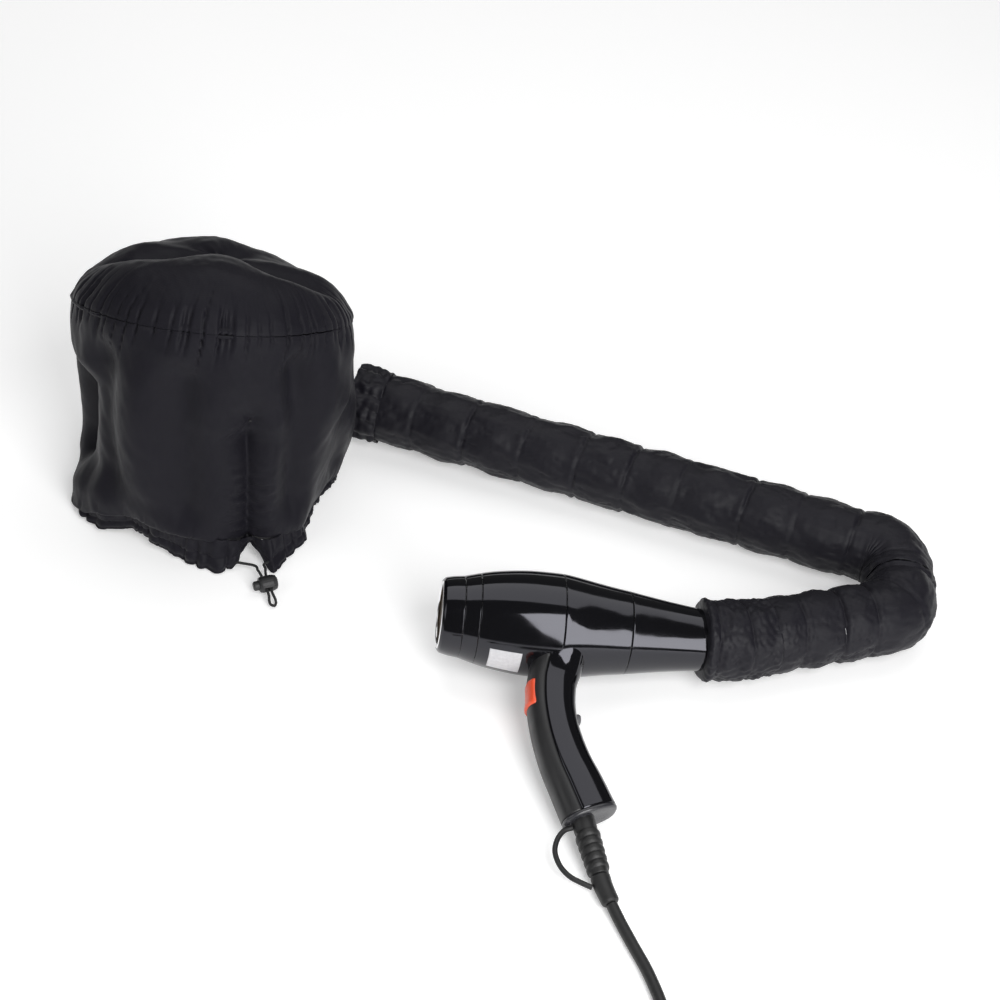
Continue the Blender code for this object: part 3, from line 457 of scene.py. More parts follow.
def label_paper():
    paper = Shader("blank label", (0.62, 0.62, 0.64), 0.38)
    paper.vary_colour(paper.noise(420.0, 2.0), (0.50, 0.50, 0.52), (0.72, 0.72, 0.74))
    paper.vary_roughness(paper.noise(90.0), 0.3, 0.46)
    paper.bump(paper.noise(120.0), 0.0001, 0.4)
    return paper.material


def mica_sheet():
    mica = Shader("mica", (0.55, 0.47, 0.33), 0.5)
    mica.vary_colour(mica.noise(60.0, 6.0, (1, 4, 4)), (0.44, 0.36, 0.24), (0.66, 0.58, 0.43))
    mica.bump(mica.noise(150.0, 4.0), 0.0002, 0.5)
    return mica.material


NYLON = nylon("hood nylon")
HOSE = hose_nylon()
TAPE = binding_tape()
LINING = lining_cloth()
BRAID = braid()
GLOSS = gloss_black()
MATT = moulded("matt black", (0.012, 0.012, 0.013), 0.42)
PLASTIC = moulded("black plastic", (0.014, 0.014, 0.015), 0.45)
GREY = moulded("dark grey plastic", (0.085, 0.085, 0.092), 0.4)
GLOSS_GREY = moulded("glossy dark grey plastic", (0.030, 0.030, 0.034), 0.22, 0.00004)
ORANGE = moulded("orange red plastic", (0.78, 0.085, 0.028), 0.34, 0.00005)
RUBBER = moulded("black rubber", (0.011, 0.011, 0.0115), 0.5, 0.0002, 600.0)
CHROME = metal("bright trim", (0.82, 0.82, 0.83), 0.14)
STEEL = metal("plain steel", (0.55, 0.55, 0.56), 0.32, (1, 6, 6))
BRASS = metal("plug brass", (0.72, 0.53, 0.28), 0.26)
MESH = intake_weave()
PAPER = label_paper()
MICA = mica_sheet()
SLOT_LOOKS = {"fabric": NYLON, "lining": LINING, "string": BRAID, "lock_plastic": PLASTIC,
              "spring_steel": STEEL, "gloss_black": GLOSS, "matt_black": MATT, "inner_plastic": PLASTIC,
              "dark_grey": GREY, "orange_red": ORANGE, "bronze_mesh": MESH, "chrome_trim": CHROME,
              "steel": STEEL, "mica": MICA, "label_paper": PAPER, "black_rubber": RUBBER, "pin_brass": BRASS}


def dress_frame():
    """Every CAD node that stays in view, or inside, gets its slot's detailed material."""
    for part in frame["record"]["subparts"]:
        node = frame["nodes"][part["node"]]
        for place in node.material_slots:
            place.material = SLOT_LOOKS[part["material_slot"]]


# ---------------------------------------------------------------- camera, light, floor

def make_camera():
    look = Vector((0, math.cos(TILT), -math.sin(TILT)))
    level_up = Vector((0, math.sin(TILT), math.cos(TILT)))
    right = Vector((math.cos(ROLL), 0, 0)) + level_up * math.sin(ROLL)
    up = level_up * math.cos(ROLL) - Vector((math.sin(ROLL), 0, 0))
    data = bpy.data.cameras.new("camera")
    data.lens = LENS
    data.sensor_width = SENSOR
    data.clip_end = 20
    camera = bpy.data.objects.new("camera", data)
    bpy.context.scene.collection.objects.link(camera)
    turn = Matrix((right, up, -look)).transposed().to_4x4()
    camera.matrix_world = Matrix.Translation(TARGET - look * DISTANCE) @ turn
    bpy.context.scene.camera = camera


def softbox(name, place, target, size, power):
    data = bpy.data.lights.new(name, "AREA")
    data.shape = "RECTANGLE"
    data.size, data.size_y = size
    data.energy = power
    light = bpy.data.objects.new(name, data)
    bpy.context.scene.collection.objects.link(light)
    light.location = place
    light.rotation_euler = (Vector(target) - Vector(place)).to_track_quat("-Z", "Y").to_euler()


def make_studio():
    world = bpy.data.worlds.new("studio")
    bpy.context.scene.world = world
    world.use_nodes = True
    backdrop = world.node_tree.nodes["Background"]
    backdrop.inputs["Color"].default_value = (1.0, 1.0, 1.0, 1.0)
    backdrop.inputs["Strength"].default_value = BACKDROP_GLOW
    bpy.context.scene.view_settings.view_transform = "Standard"
    for light in LIGHTS:
        softbox(*light)
    card = Shader("pale floor", (0.88, 0.88, 0.88), 0.8)
    card.vary_colour(card.noise(2.0, 2.0), (0.875, 0.875, 0.875), (0.885, 0.885, 0.885))
    card.set("Emission Color", (1.0, 1.0, 1.0, 1.0))
    card.set("Emission Strength", FLOOR_GLOW)
    side = FLOOR_HALF_SIDE
    corners = [[(-side, -side, 0), (-side, side, 0)], [(side, -side, 0), (side, side, 0)]]
    floor = skin("floor", corners, card.material, closed=False, smooth=False)


# ---------------------------------------------------------------- mains lead

def coil_point(turn):
    """The lead's middle after so many turns: three layers, each of up to three turns side by side."""
    d = LEAD_DIAMETER
    shifts = [(0.75, -1), (1.75, -1), (3.25, 1), (4.25, 1), (5.75, -1), (6.75, -1)]
    rises = [2.5, 5.0]
    side = 1 + sum(step * float(smoothstep((turn - start) / 0.25)) for start, step in shifts)
    layer = sum(float(smoothstep((turn - start) / 0.25)) for start in rises)
    angle = -2 * math.pi * turn
    radius = COIL_RADIUS + side * d
    height = d / 2 + 0.0003 + layer * d
    return COIL_CENTRE + Vector((radius * math.cos(angle), radius * math.sin(angle), height))


def make_lead():
    """The lead from its sleeve to the plug: the part in view, the stored coil and the short end."""
    turns = [coil_point(i / COIL_STEPS) for i in range(int(COIL_TURNS * COIL_STEPS) + 1)]
    into = [LEAD_ROUTE[-1], tuple(COIL_CENTRE + Vector((COIL_RADIUS + LEAD_DIAMETER, 0.012, 0.0048)))]
    out = [tuple(turns[-1])] + TAIL_ROUTE
    route = smooth_route(LEAD_ROUTE, 0.006) + smooth_route(into, 0.006)[1:]
    route += turns + smooth_route(out, 0.006)[1:]
    lead = wire("mains_lead_cord", route, LEAD_DIAMETER / 2, RUBBER, sides=5)
    put(lead, "dryer", ("mains_lead", "lead_coil", "lead_tail"))
    tie = make_tie()
    plug = make_plug()


def make_tie():
    """A hook-and-loop strap round the coil's turns."""
    low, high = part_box("lead_tie")
    middle = (low + high) / 2
    half = (high - low) / 2
    corner = 0.006
    loop = []
    for cx, cz, first in ((1, 1, 0), (-1, 1, 1), (-1, -1, 2), (1, -1, 3)):
        for i in range(7):
            a = (first + i / 6) * math.pi / 2
            loop.append((cx * (half.x - corner) + corner * math.cos(a),
                         cz * (half.z - corner) + corner * math.sin(a)))
    rows = []
    for y in (-half.y, -half.y * 0.9, half.y * 0.9, half.y):
        rows.append([(middle.x + x, middle.y + y, middle.z + z) for x, z in reversed(loop)])
    tie = skin("lead_tie_strap", rows, TAPE, wall=0.0011)
    return put(tie, "dryer", ("lead_tie",))


def make_plug():
    """The moulded plug: its sleeve swells from the lead into a ribbed grip and a flat face."""
    low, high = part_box("plug_body")
    middle = (low + high) / 2
    start = high.x
    stations = [(0.0, 0.0050, 0.0050), (0.004, 0.0056, 0.0056), (0.014, 0.0062, 0.0062),
                (0.020, 0.0082, 0.0078), (0.026, 0.0120, 0.0100), (0.032, 0.0155, 0.0118),
                (0.040, 0.0172, 0.0127), (0.047, 0.0178, 0.0129), (0.0492, 0.0176, 0.0127),
                (0.0500, 0.0168, 0.0119)]
    path = smooth_route(stations, 0.0012)
    rows = []
    for along, wide, tall in path:
        grip = 0.0005 * math.cos(along * 2 * math.pi / 0.0032) if 0.024 < along < 0.042 else 0.0
        ring = []
        for i in range(64):
            a = 2 * math.pi * i / 64
            c, s = math.cos(a), math.sin(a)
            reach = (abs(c) ** 2.4 + abs(s) ** 2.4) ** (-1 / 2.4)
            ring.append((start - along, middle.y - (wide + grip * abs(c)) * c * reach,
                         middle.z + tall * s * reach))
        rows.append(ring)
    plug = skin("plug_shell", rows, RUBBER, caps=True)
    return put(plug, "dryer", ("plug_body",))


# ---------------------------------------------------------------- hood

WALL_HEIGHT = 0.180
WALL_VALLEYS = [                  # degrees, depth, width in degrees, from share, to share
    (172, 0.0030, 22, -0.02, 0.90),
    (196, 0.0240, 9, 0.08, 0.80),
    (213, 0.0180, 13, 0.10, 0.77),
    (232, 0.0095, 7, 0.06, 0.94),
    (249, -0.0045, 9, 0.10, 0.90),
    (267, 0.0120, 8, 0.00, 0.92),
    (314, 0.0140, 8, 0.03, 0.97),
    (331, -0.0015, 8, 0.40, 0.95),
    (346, 0.0075, 15, 0.02, 0.62),
    (8, 0.0025, 14, 0.62, 1.10),
    (28, 0.0040, 9, 0.05, 0.90),
    (66, 0.0045, 9, 0.05, 0.90),
    (107, 0.0050, 8, 0.00, 0.80),
    (140, 0.0040, 8, 0.05, 0.90),
]
WALL_TUFTS = [                    # tack, degrees, share, depth, width, height
    ("tack_front", 294, 0.60, 0.0140, 0.024, 0.027),
    ("tack_right", 4, 0.62, 0.0120, 0.024, 0.027),
    ("tack_back", 107, 0.62, 0.0130, 0.024, 0.027),
    ("tack_left", 198, 0.46, 0.0160, 0.016, 0.050),
]
CROWN_TUFTS = [("crown_tack_left", -0.038, -0.018, 0.0185), ("crown_tack_right", 0.060, -0.020, 0.0180)]
CROWN_VALLEY = [(-0.108, -0.006), (-0.070, -0.020), (-0.038, -0.018), (0.004, -0.004), (0.030, -0.008),
                (0.060, -0.020), (0.108, -0.014)]

CROWN_LOBES = [                   # x, y in the crown's plane, height, width, depth
    (-0.010, -0.062, 0.0050, 0.060, 0.026),
    (-0.060, 0.038, 0.0020, 0.036, 0.040),
    (0.010, 0.045, 0.0015, 0.040, 0.035),
    (0.075, -0.048, 0.0030, 0.028, 0.022),
]


def seam_slack(angle):
    """How far the sewn crown seam lies inside its cut line."""
    return round_table(angle, ((0, 0.0020), (40, 0.0045), (85, 0.0020), (150, 0.0035), (180, 0.0050),
                               (212, 0.0030), (250, 0.0), (300, 0.0), (335, 0.0010)))


def seam_spot(angle, share=1.0, lift=0.0, inset=0.0):
    """Points in the crown's leaning plane: share 1 is the crown seam, 0 its middle."""
    inset = inset + seam_slack(angle)
    x = (SEAM_HALF_WIDTH - inset) * np.cos(angle) * share
    y = (SEAM_HALF_DEPTH - inset) * np.sin(angle) * share
    lift = lift + np.zeros_like(angle)
    across = x[..., None] * np.array((1, 0, 0))
    return SEAM_CENTRE + across + y[..., None] * CROWN_BACK + lift[..., None] * CROWN_UP


def outward(angle):
    return np.stack([np.cos(angle), np.sin(angle), np.zeros_like(angle)], axis=-1)


def rim_shift(angle, share):
    """How far the lower wall leans out (at the left front corner) or in (at the right) of a plain cone."""
    lean = round_table(angle, ((0, -0.011), (30, -0.002), (90, 0.0), (160, 0.001), (188, 0.003), (211, 0.019),
                               (224, 0.013), (240, -0.001), (262, 0.001), (278, 0.004), (290, 0.004),
                               (301, 0.006),
                               (314, -0.001), (332, -0.017), (348, -0.019)))
    return lean * (1 - share) ** np.where(lean > 0, 3.5, 1.3)


def puff_bottom(angle):
    """Height of the puffed wall's lower edge above the table."""
    return round_table(angle, ((0, 0.014), (90, 0.014), (180, 0.012), (206, 0.004), (217, 0.010),
                               (228, 0.024), (245, 0.032), (272, 0.031), (284, 0.024), (293, 0.016),
                               (302, 0.018), (325, 0.014)))


def gathers(angle, seed):
    """1 in the folds of a gathered seam, 0 between them, unevenly spread round it."""
    draw = np.random.RandomState(seed)
    total = sum(np.cos(k * angle + draw.uniform(0, 7)) for k in (17, 24, 31, 37, 44))
    strength = 0.62 + 0.38 * np.cos(3 * angle + 1.0) * np.cos(8 * angle + 2.0)
    return strength * np.exp(-(total / 0.42) ** 2)


def gather_reach(angle):
    return 0.012 * (1.15 + 0.5 * np.cos(9 * angle + 0.6) + 0.35 * np.cos(23 * angle + 2.0))


def wall_sink(angle, share):
    """How far the puffed wall lies inside its plain form, for its valleys, tufts, seams and folds."""
    up = share * WALL_HEIGHT
    sink = np.zeros_like(angle)
    for degrees, depth, width, low, high in WALL_VALLEYS:
        fade = smoothstep((share - low) / 0.16) * smoothstep((high - share) / 0.16)
        sink += depth * hump(np.degrees(angle_gap(angle, math.radians(degrees))), width) * fade
    for _, degrees, at, depth, wide, tall in WALL_TUFTS:
        across = RIM_RADIUS * angle_gap(angle, math.radians(degrees))
        along = up - at * WALL_HEIGHT
        sink += depth * 0.6 * np.exp(-(across / wide) ** 2 - (along / tall) ** 2)
        sink += depth * 0.4 * np.exp(-np.hypot(across, along) / 0.011)
    across = RIM_RADIUS * angle_gap(angle, FRONT_SEAM)
    below = smoothstep((0.60 - share) / 0.12)
    spread = np.sqrt(across ** 2 + 0.0012 ** 2) - 0.0012
    sink += (0.0130 * np.exp(-spread / 0.0130) + 0.0060 * hump(across, 0.030)) * below
    ripple = np.sin(2 * math.pi * up / 0.0125 + 2.2 * np.sin(across / 0.006))
    ripple = ripple + np.sin(2 * math.pi * up / 0.0081)
    sink += 0.0009 * ripple * hump(np.abs(across) - 0.008, 0.011) * below * smoothstep((0.5 - share) / 0.3)
    for degrees, at, slope, length, depth in ((294, 0.60, (-0.80, -0.60), 0.034, 0.0030),
                                              (294, 0.60, (-0.45, 0.89), 0.013, 0.0016),
                                              (294, 0.60, (0.86, 0.50), 0.013, 0.0014),
                                              (294, 0.60, (0.90, -0.42), 0.015, 0.0016)):
        x = RIM_RADIUS * angle_gap(angle, math.radians(degrees))
        y = up - at * WALL_HEIGHT
        along = x * slope[0] + y * slope[1]
        aside = x * slope[1] - y * slope[0] + 0.0012 * np.sin(along / 0.006)
        ends = smoothstep(along / 0.003) * smoothstep((length - along) / (length * 0.7))
        sink += depth * hump(aside, 0.0019) * ends
    return sink


def seam_pinch(angle):
    """How far the gathered crown seam lies inside its plain outline."""
    return 0.0007 + 0.0034 * gathers(angle, 5)


def wall_spot(angle, share):
    """The hood's outer wall, from its lower edge at share 0 to the crown seam at 1."""
    out = outward(angle)
    rim = RIM_CENTRE + out * (RIM_RADIUS - 0.0015 + rim_shift(angle, share))[..., None]
    rim[..., 2] = puff_bottom(angle)
    top = seam_spot(angle)
    swell = 0.0085 * (4 * share * (1 - share)) ** np.where(share > 0.5, 1.0, 0.6)
    below = (1 - share) * WALL_HEIGHT
    swell = swell - seam_pinch(angle) * np.exp(-below / 0.004)
    slanted = angle + 0.30 * (1 - share)
    fade = hump(below, gather_reach(slanted)) * smoothstep(below / 0.0015)
    folds = 0.0070 * gathers(slanted, 5) * fade
    low = share * WALL_HEIGHT
    folds = folds + 0.0016 * gathers(angle - 0.2 * share, 9) * np.exp(-(low / 0.012) ** 2)
    plain = rim + (top - rim) * share[..., None]
    edge = smoothstep(share / 0.02) * smoothstep((1 - share) / 0.02)
    noise = 0.0008 * waves(plain, 3, (0.075, 0.075, 0.12)) + 0.00016 * waves(plain, 4, (0.020, 0.020, 0.034))
    return plain + out * (swell - wall_sink(angle, share) - folds + noise * edge)[..., None]


def make_wall():
    share = np.concatenate([np.linspace(0, 0.06, 14)[:-1], np.linspace(0.06, 0.88, 96)[:-1],
                            np.linspace(0.88, 1.0, 34)])
    angle, share = np.meshgrid(np.linspace(0, 2 * math.pi, 520, endpoint=False), share)
    wall = skin("hood_wall", wall_spot(angle, share), NYLON, wall=0.0009)
    put(wall, "hood", ("side_wall",))


def valley_distance(x, y):
    """Distance in the crown's plane from the sewn valley that joins its tufts, and the place along it."""
    nearest = np.full_like(x, 9.0)
    for (x0, y0), (x1, y1) in zip(CROWN_VALLEY, CROWN_VALLEY[1:]):
        length = math.hypot(x1 - x0, y1 - y0)
        share = np.clip(((x - x0) * (x1 - x0) + (y - y0) * (y1 - y0)) / length ** 2, 0, 1)
        gap = np.hypot(x - x0 - share * (x1 - x0), y - y0 - share * (y1 - y0))
        nearest = np.minimum(nearest, gap)
    return nearest


def crown_lift(angle, share):
    """Height of the puffed crown above its seam plane."""
    x = SEAM_HALF_WIDTH * np.cos(angle) * share
    y = SEAM_HALF_DEPTH * np.sin(angle) * share
    sides = 1 - 0.20 * hump(np.degrees(angle_gap(angle, math.radians(38))), 36)
    sides -= 0.08 * hump(np.degrees(angle_gap(angle, math.radians(150))), 22)
    lift = 0.0505 * sides * np.clip(1 - share ** 2.5, 0, 1) ** 0.64
    inside = smoothstep((1 - share) / 0.35)
    gap = valley_distance(x, y)
    lift -= (0.0050 * hump(gap, 0.017) + 0.0052 * np.exp(-gap / 0.0075)) * inside
    for _, tx, ty, depth in CROWN_TUFTS:
        away = np.hypot(x - tx, y - ty)
        lift -= (0.5 * hump(away, 0.024) + 0.5 * np.exp(-away / 0.009)) * (depth - 0.004)
    for px, py, height, wide, deep in CROWN_LOBES:
        lift += height * np.exp(-((x - px) / wide) ** 2 - ((y - py) / deep) ** 2)
    return lift


def crown_spot(angle, share):
    inward = (1 - share) * 0.115
    lift = crown_lift(angle, share)
    reach = gather_reach(angle) * 0.85
    fade = hump(inward, reach) * smoothstep(inward / 0.0015)
    folds = 0.0052 * gathers(angle - 0.20 * (1 - share), 5) * fade
    plain = seam_spot(angle, share, lift)
    noise = 0.0007 * waves(plain, 13, (0.07, 0.07, 0.07)) + 0.00014 * waves(plain, 14, (0.022, 0.022, 0.022))
    out = outward(angle)
    steep = smoothstep((share - 0.5) / 0.45)
    way = out * (0.75 * steep)[..., None] + CROWN_UP * (1 - 0.35 * steep)[..., None]
    noise = noise * smoothstep((1 - share) / 0.04)
    return plain - out * (seam_pinch(angle) * share ** 6)[..., None] + way * (noise - folds)[..., None]


def make_crown():
    share = np.concatenate([1 - np.linspace(0, 1, 34) ** 2 * 0.12, np.linspace(0.88, 0.012, 84)[1:]])
    angle, share = np.meshgrid(np.linspace(0, 2 * math.pi, 520, endpoint=False), share)
    crown = skin("hood_crown", crown_spot(angle, share), NYLON, caps=False, wall=0.0009)
    close_top(crown, 520)
    put(crown, "hood", ("crown_panel",))


def close_top(piece, around):
    """Closes the small round left at a dome's top with a fan of faces."""
    shape = bmesh.new()
    shape.from_mesh(piece.data)
    shape.verts.ensure_lookup_table()
    ring = shape.verts[-around:]
    middle = shape.verts.new(sum((v.co for v in ring), Vector()) / around)
    for a, b in zip(ring, ring[1:] + ring[:1]):
        shape.faces.new((a, b, middle)).smooth = True
    bmesh.ops.recalc_face_normals(shape, faces=shape.faces)
    shape.to_mesh(piece.data)
    shape.free()


def hem_bottom(angle):
    return round_table(angle, ((0, 0.0012), (90, 0.0010), (180, 0.0012), (205, 0.0014), (222, 0.0040),
                               (240, 0.0110), (256, 0.0075), (267, 0.0016), (275, 0.0010), (285, 0.0012),
                               (287.5, 0.0060), (290, 0.0125), (296, 0.0125), (299, 0.0016), (320, 0.0015),
                               (340, 0.0012)))


def hem_flare(angle):
    """How far the hem's lower edge stands out from its upper one."""
    return round_table(angle, ((195, -0.003), (208, -0.004), (218, 0.002), (228, 0.003), (240, -0.002),
                               (262, 0.001), (272, 0.0060), (281, 0.0100), (287, 0.0050), (294, -0.0010),
                               (297, 0.0040), (300, 0.0200), (305, 0.0110), (314, 0.0080), (326, 0.0050),
                               (342, 0.0), (0, 0.0)))


def hem_spot(angle, down):
    """The ruffled hem: down 0 under the puff, 1 at its lower edge, then rolled up inside to 1.6."""
    out = outward(angle)
    hang = np.clip(down, 0, 1)
    rolled = np.clip(down - 1, 0, 1)
    ruffle = np.sin(52 * angle + 2.0 * np.sin(5 * angle))
    ruffle = ruffle + 0.7 * np.sin(33 * angle + 1.3 * np.sin(7 * angle + 1))
    pleat = gathers(angle + 0.02 * hang, 21)
    radius = RIM_RADIUS - 0.0040 + rim_shift(angle, np.zeros_like(angle)) + hem_flare(angle) * hang
    radius += 0.0008 * ruffle * (0.35 + 0.65 * hang) - 0.0030 * pleat
    radius += 0.0012 * hump(hang - 0.80, 0.10) - 0.0008 * hump(hang - 0.62, 0.05)
    arch = hump(np.degrees(angle_gap(angle, FRONT_SEAM)), 4.5)
    radius -= 0.0100 * arch
    turn = rolled / 0.6 * math.pi
    radius -= 0.0030 * (1 - np.cos(turn)) * (rolled > 0)
    top = puff_bottom(angle) + 0.006
    low = hem_bottom(angle) + 0.0004 * np.abs(ruffle)
    height = top + (low - top) * hang
    height += np.where(rolled > 0, 0.0060 * (1 - np.cos(turn)) / 2, 0.0)
    spot = RIM_CENTRE + out * radius[..., None]
    spot[..., 2] = height
    return spot + out * (0.0005 * waves(spot, 17, (0.02, 0.02, 0.02)))[..., None]


def make_hem():
    down = np.concatenate([np.linspace(0, 1, 34), np.linspace(1.02, 1.6, 12)])
    angle, down = np.meshgrid(np.linspace(0, 2 * math.pi, 640, endpoint=False), down)
    rows = hem_spot(angle, down)
    hem = skin("hood_hem", rows[::-1], NYLON, wall=0.0008)
    put(hem, "hood", ("hem_casing",))


def lining_spot(angle, share):
    """The inner cap over the head, up its wall (share 0 to 1) and over its dome (share 1 to 2)."""
    up = np.clip(share, 0, 1)
    over = np.clip(2 - share, 0, 1)
    inset = np.interp(up, (0.0, 0.10, 0.22, 0.5, 1.0), (0.0080, 0.0110, 0.0187, 0.0220, 0.0220))
    out = outward(angle)
    rim = RIM_CENTRE + out * (RIM_RADIUS - inset + rim_shift(angle, up))[..., None]
    rim[..., 2] = 0.0125
    top = seam_spot(angle, inset=0.0220)
    wall = rim + (top - rim) * up[..., None] + out * (0.006 * np.sin(math.pi * up))[..., None]
    inside = np.maximum(0, wall_sink(angle, up) - inset + 0.0075)
    wall = wall - out * inside[..., None]
    dome = seam_spot(angle, over, -0.008 + 0.036 * np.clip(1 - over ** 2, 0, 1) ** 0.75, 0.0220)
    blend = smoothstep((share - 0.94) / 0.10)[..., None]
    spot = wall * (1 - blend) + dome * blend
    return spot + out * (0.0010 * waves(spot, 31, (0.04, 0.04, 0.05)))[..., None]


def make_lining():
    """The vented inner cap; its air outlets are round holes in two rows and a ring on top."""
    around = 300
    share = np.concatenate([np.linspace(0, 1, 110), np.linspace(1.02, 1.985, 66)])
    angle, share = np.meshgrid(np.linspace(0, 2 * math.pi, around, endpoint=False), share)
    rows = lining_spot(angle, share)
    vents = []
    for at, shift in ((0.38, 0.0), (0.68, 0.5)):
        vents += [(2 * math.pi * (i + shift) / 8, at) for i in range(8)]
    vents += [(2 * math.pi * i / 5, 1.45) for i in range(5)]
    for turn, at in vents:
        spot = lining_spot(np.array([turn]), np.array([at]))[0]
        away = rows - spot
        gap = np.linalg.norm(away, axis=-1)
        open_to = 0.0046 + gap * (0.0110 - 0.0046) / 0.0110
        near = (gap < 0.0110) & (gap > 1e-6)
        rows[near] += away[near] * ((open_to[near] / gap[near]) - 1)[:, None]
    lining = skin("hood_lining", rows, LINING)
    close_top(lining, around)
    shape = bmesh.new()
    shape.from_mesh(lining.data)
    holes = [Vector(lining_spot(np.array([turn]), np.array([at]))[0]) for turn, at in vents]
    inside = [f for f in shape.faces
              if any((f.calc_center_median() - hole).length < 0.0044 for hole in holes)]
    bmesh.ops.delete(shape, geom=inside, context="FACES")
    shape.to_mesh(lining.data)
    shape.free()
    thick = lining.modifiers.new("wall", "SOLIDIFY")
    thick.thickness = 0.0007
    thick.offset = -1.0
    put(lining, "hood", ("vented_lining",))


def make_tufts():
    """A knot and short thread at each place where the outer fabric is tied to the lining."""
    for name, degrees, at, _, _, _ in WALL_TUFTS:
        angle = np.array([math.radians(degrees)])
        top = Vector(wall_spot(angle, np.array([at]))[0])
        way = -Vector(outward(angle)[0])
        knot = [top + way * d + Vector((0, 0, 0.0005 * math.sin(9 * i))) for i, d in
                enumerate((-0.0012, 0.0, 0.0012, 0.0026, 0.0044, 0.0062))]
        tie = wire(name.replace("tack", "tuft"), knot, 0.0011, BRAID)
        put(tie, "hood", (name,))
    for name, x, y, _ in CROWN_TUFTS:
        share = math.hypot(x / SEAM_HALF_WIDTH, y / SEAM_HALF_DEPTH)
        angle = math.atan2(y / SEAM_HALF_DEPTH, x / SEAM_HALF_WIDTH)
        top = Vector(crown_spot(np.array([angle]), np.array([share]))[0])
        down = -Vector(CROWN_UP)
        knot = [top + down * d for d in (-0.0010, 0.0006, 0.0024, 0.0044, 0.0066, 0.0090)]
        tie = wire(name.replace("tack", "tuft"), knot, 0.0011, BRAID)
        put(tie, "hood", (name,))


def make_hood():
    make_wall()
    make_crown()
    make_hem()
    make_lining()
    make_tufts()


# ---------------------------------------------------------------- hose

def towards(a, b, distance):
    return a + (b - a).normalized() * distance


def bend_arc(before, corner, after, segments=26):
    """A round bend between two straights at equal reach from the corner."""
    square = BEND_REACH - 0.003
    one, two = towards(corner, before, square), towards(corner, after, square)
    half_turn = (math.pi - (one - corner).angle(two - corner)) / 2
    hub = corner + ((one + two) / 2 - corner).normalized() * square / math.sin(half_turn)
    radius = square / math.tan(half_turn)
    return [hub + (one - hub).slerp(two - hub, i / segments).normalized() * radius
            for i in range(segments + 1)]


def line(a, b, spacing):
    count = max(1, round((b - a).length / spacing))
    return [a.lerp(b, i / count) for i in range(count + 1)]


def hose_sleeve(name, centres, corners, pitch, phase, seed):
    """A wire-stiffened fabric sleeve: a crease beside each turn of the wire, crumples, squarer outer bends.

    corners are (place, way out, height): where the fabric stands off outside a bend.
    """
    centres = np.array([tuple(c) for c in centres])
    run = np.concatenate([[0], np.cumsum(np.linalg.norm(np.diff(centres, axis=0), axis=1))])
    draw = np.random.RandomState(seed)

    def radius(centres, angle, spokes):
        turn = run[:, None] / pitch + phase - 0.07 * np.cos(angle)[None, :] + 0.035 * np.sin(angle)[None, :]
        whole = np.floor(turn)
        from_wire = (turn - whole - 0.5) * pitch
        offsets = draw.uniform(-0.12, 0.12, 400) * pitch
        depth = draw.uniform(0.25, 1.0, 400)
        index = (whole.astype(int) + 200) % 400
        from_wire = from_wire - offsets[index]
        spots = centres[:, None] + spokes * HOSE_RADIUS
        broken = smoothstep(0.5 + 0.6 * waves(spots, seed + 5, (0.05, 0.05, 0.05)))
        crease = depth[index] * hump(from_wire, 0.0015) * (0.35 + 0.65 * broken)
        ridge = hump(from_wire + 0.0035, 0.0030) * (0.4 + 0.6 * depth[index])
        puff = 0.0009 * np.cos(2 * math.pi * (turn - whole - 0.5)) * -1
        rough = 0.00050 * waves(spots, seed + 1, (0.040, 0.040, 0.022))
        rough = rough + 0.00016 * waves(spots, seed + 2, (0.011,) * 3)
        nicks = 0.0009 * creases(spots, seed + 3, (0.035, 0.035, 0.020), 0.10) * smoothstep(
            0.3 + waves(spots, seed + 4, (0.05,) * 3))
        size = HOSE_RADIUS - 0.0005 + puff + rough + 0.0009 * ridge - 0.0030 * crease - nicks
        for place, way, height in corners:
            facing = np.clip(spokes @ np.array(way), 0, 1) ** 1.5
            away = np.linalg.norm(centres - np.array(place), axis=1)
            size = size + height * hump(away, 0.011)[:, None] * facing
            pinched = np.clip(-(spokes @ np.array(way)), 0, 1) ** 3
            size = size - 0.0022 * hump(away, 0.020)[:, None] * pinched * (1 + np.cos(run / 0.0011))[:, None]
        return size

    rows = tube_rows(centres, radius, 120)
    rows[..., 2] = np.maximum(rows[..., 2], FLOOR_GAP)
    return skin(name, rows[::-1], HOSE, wall=0.0008)


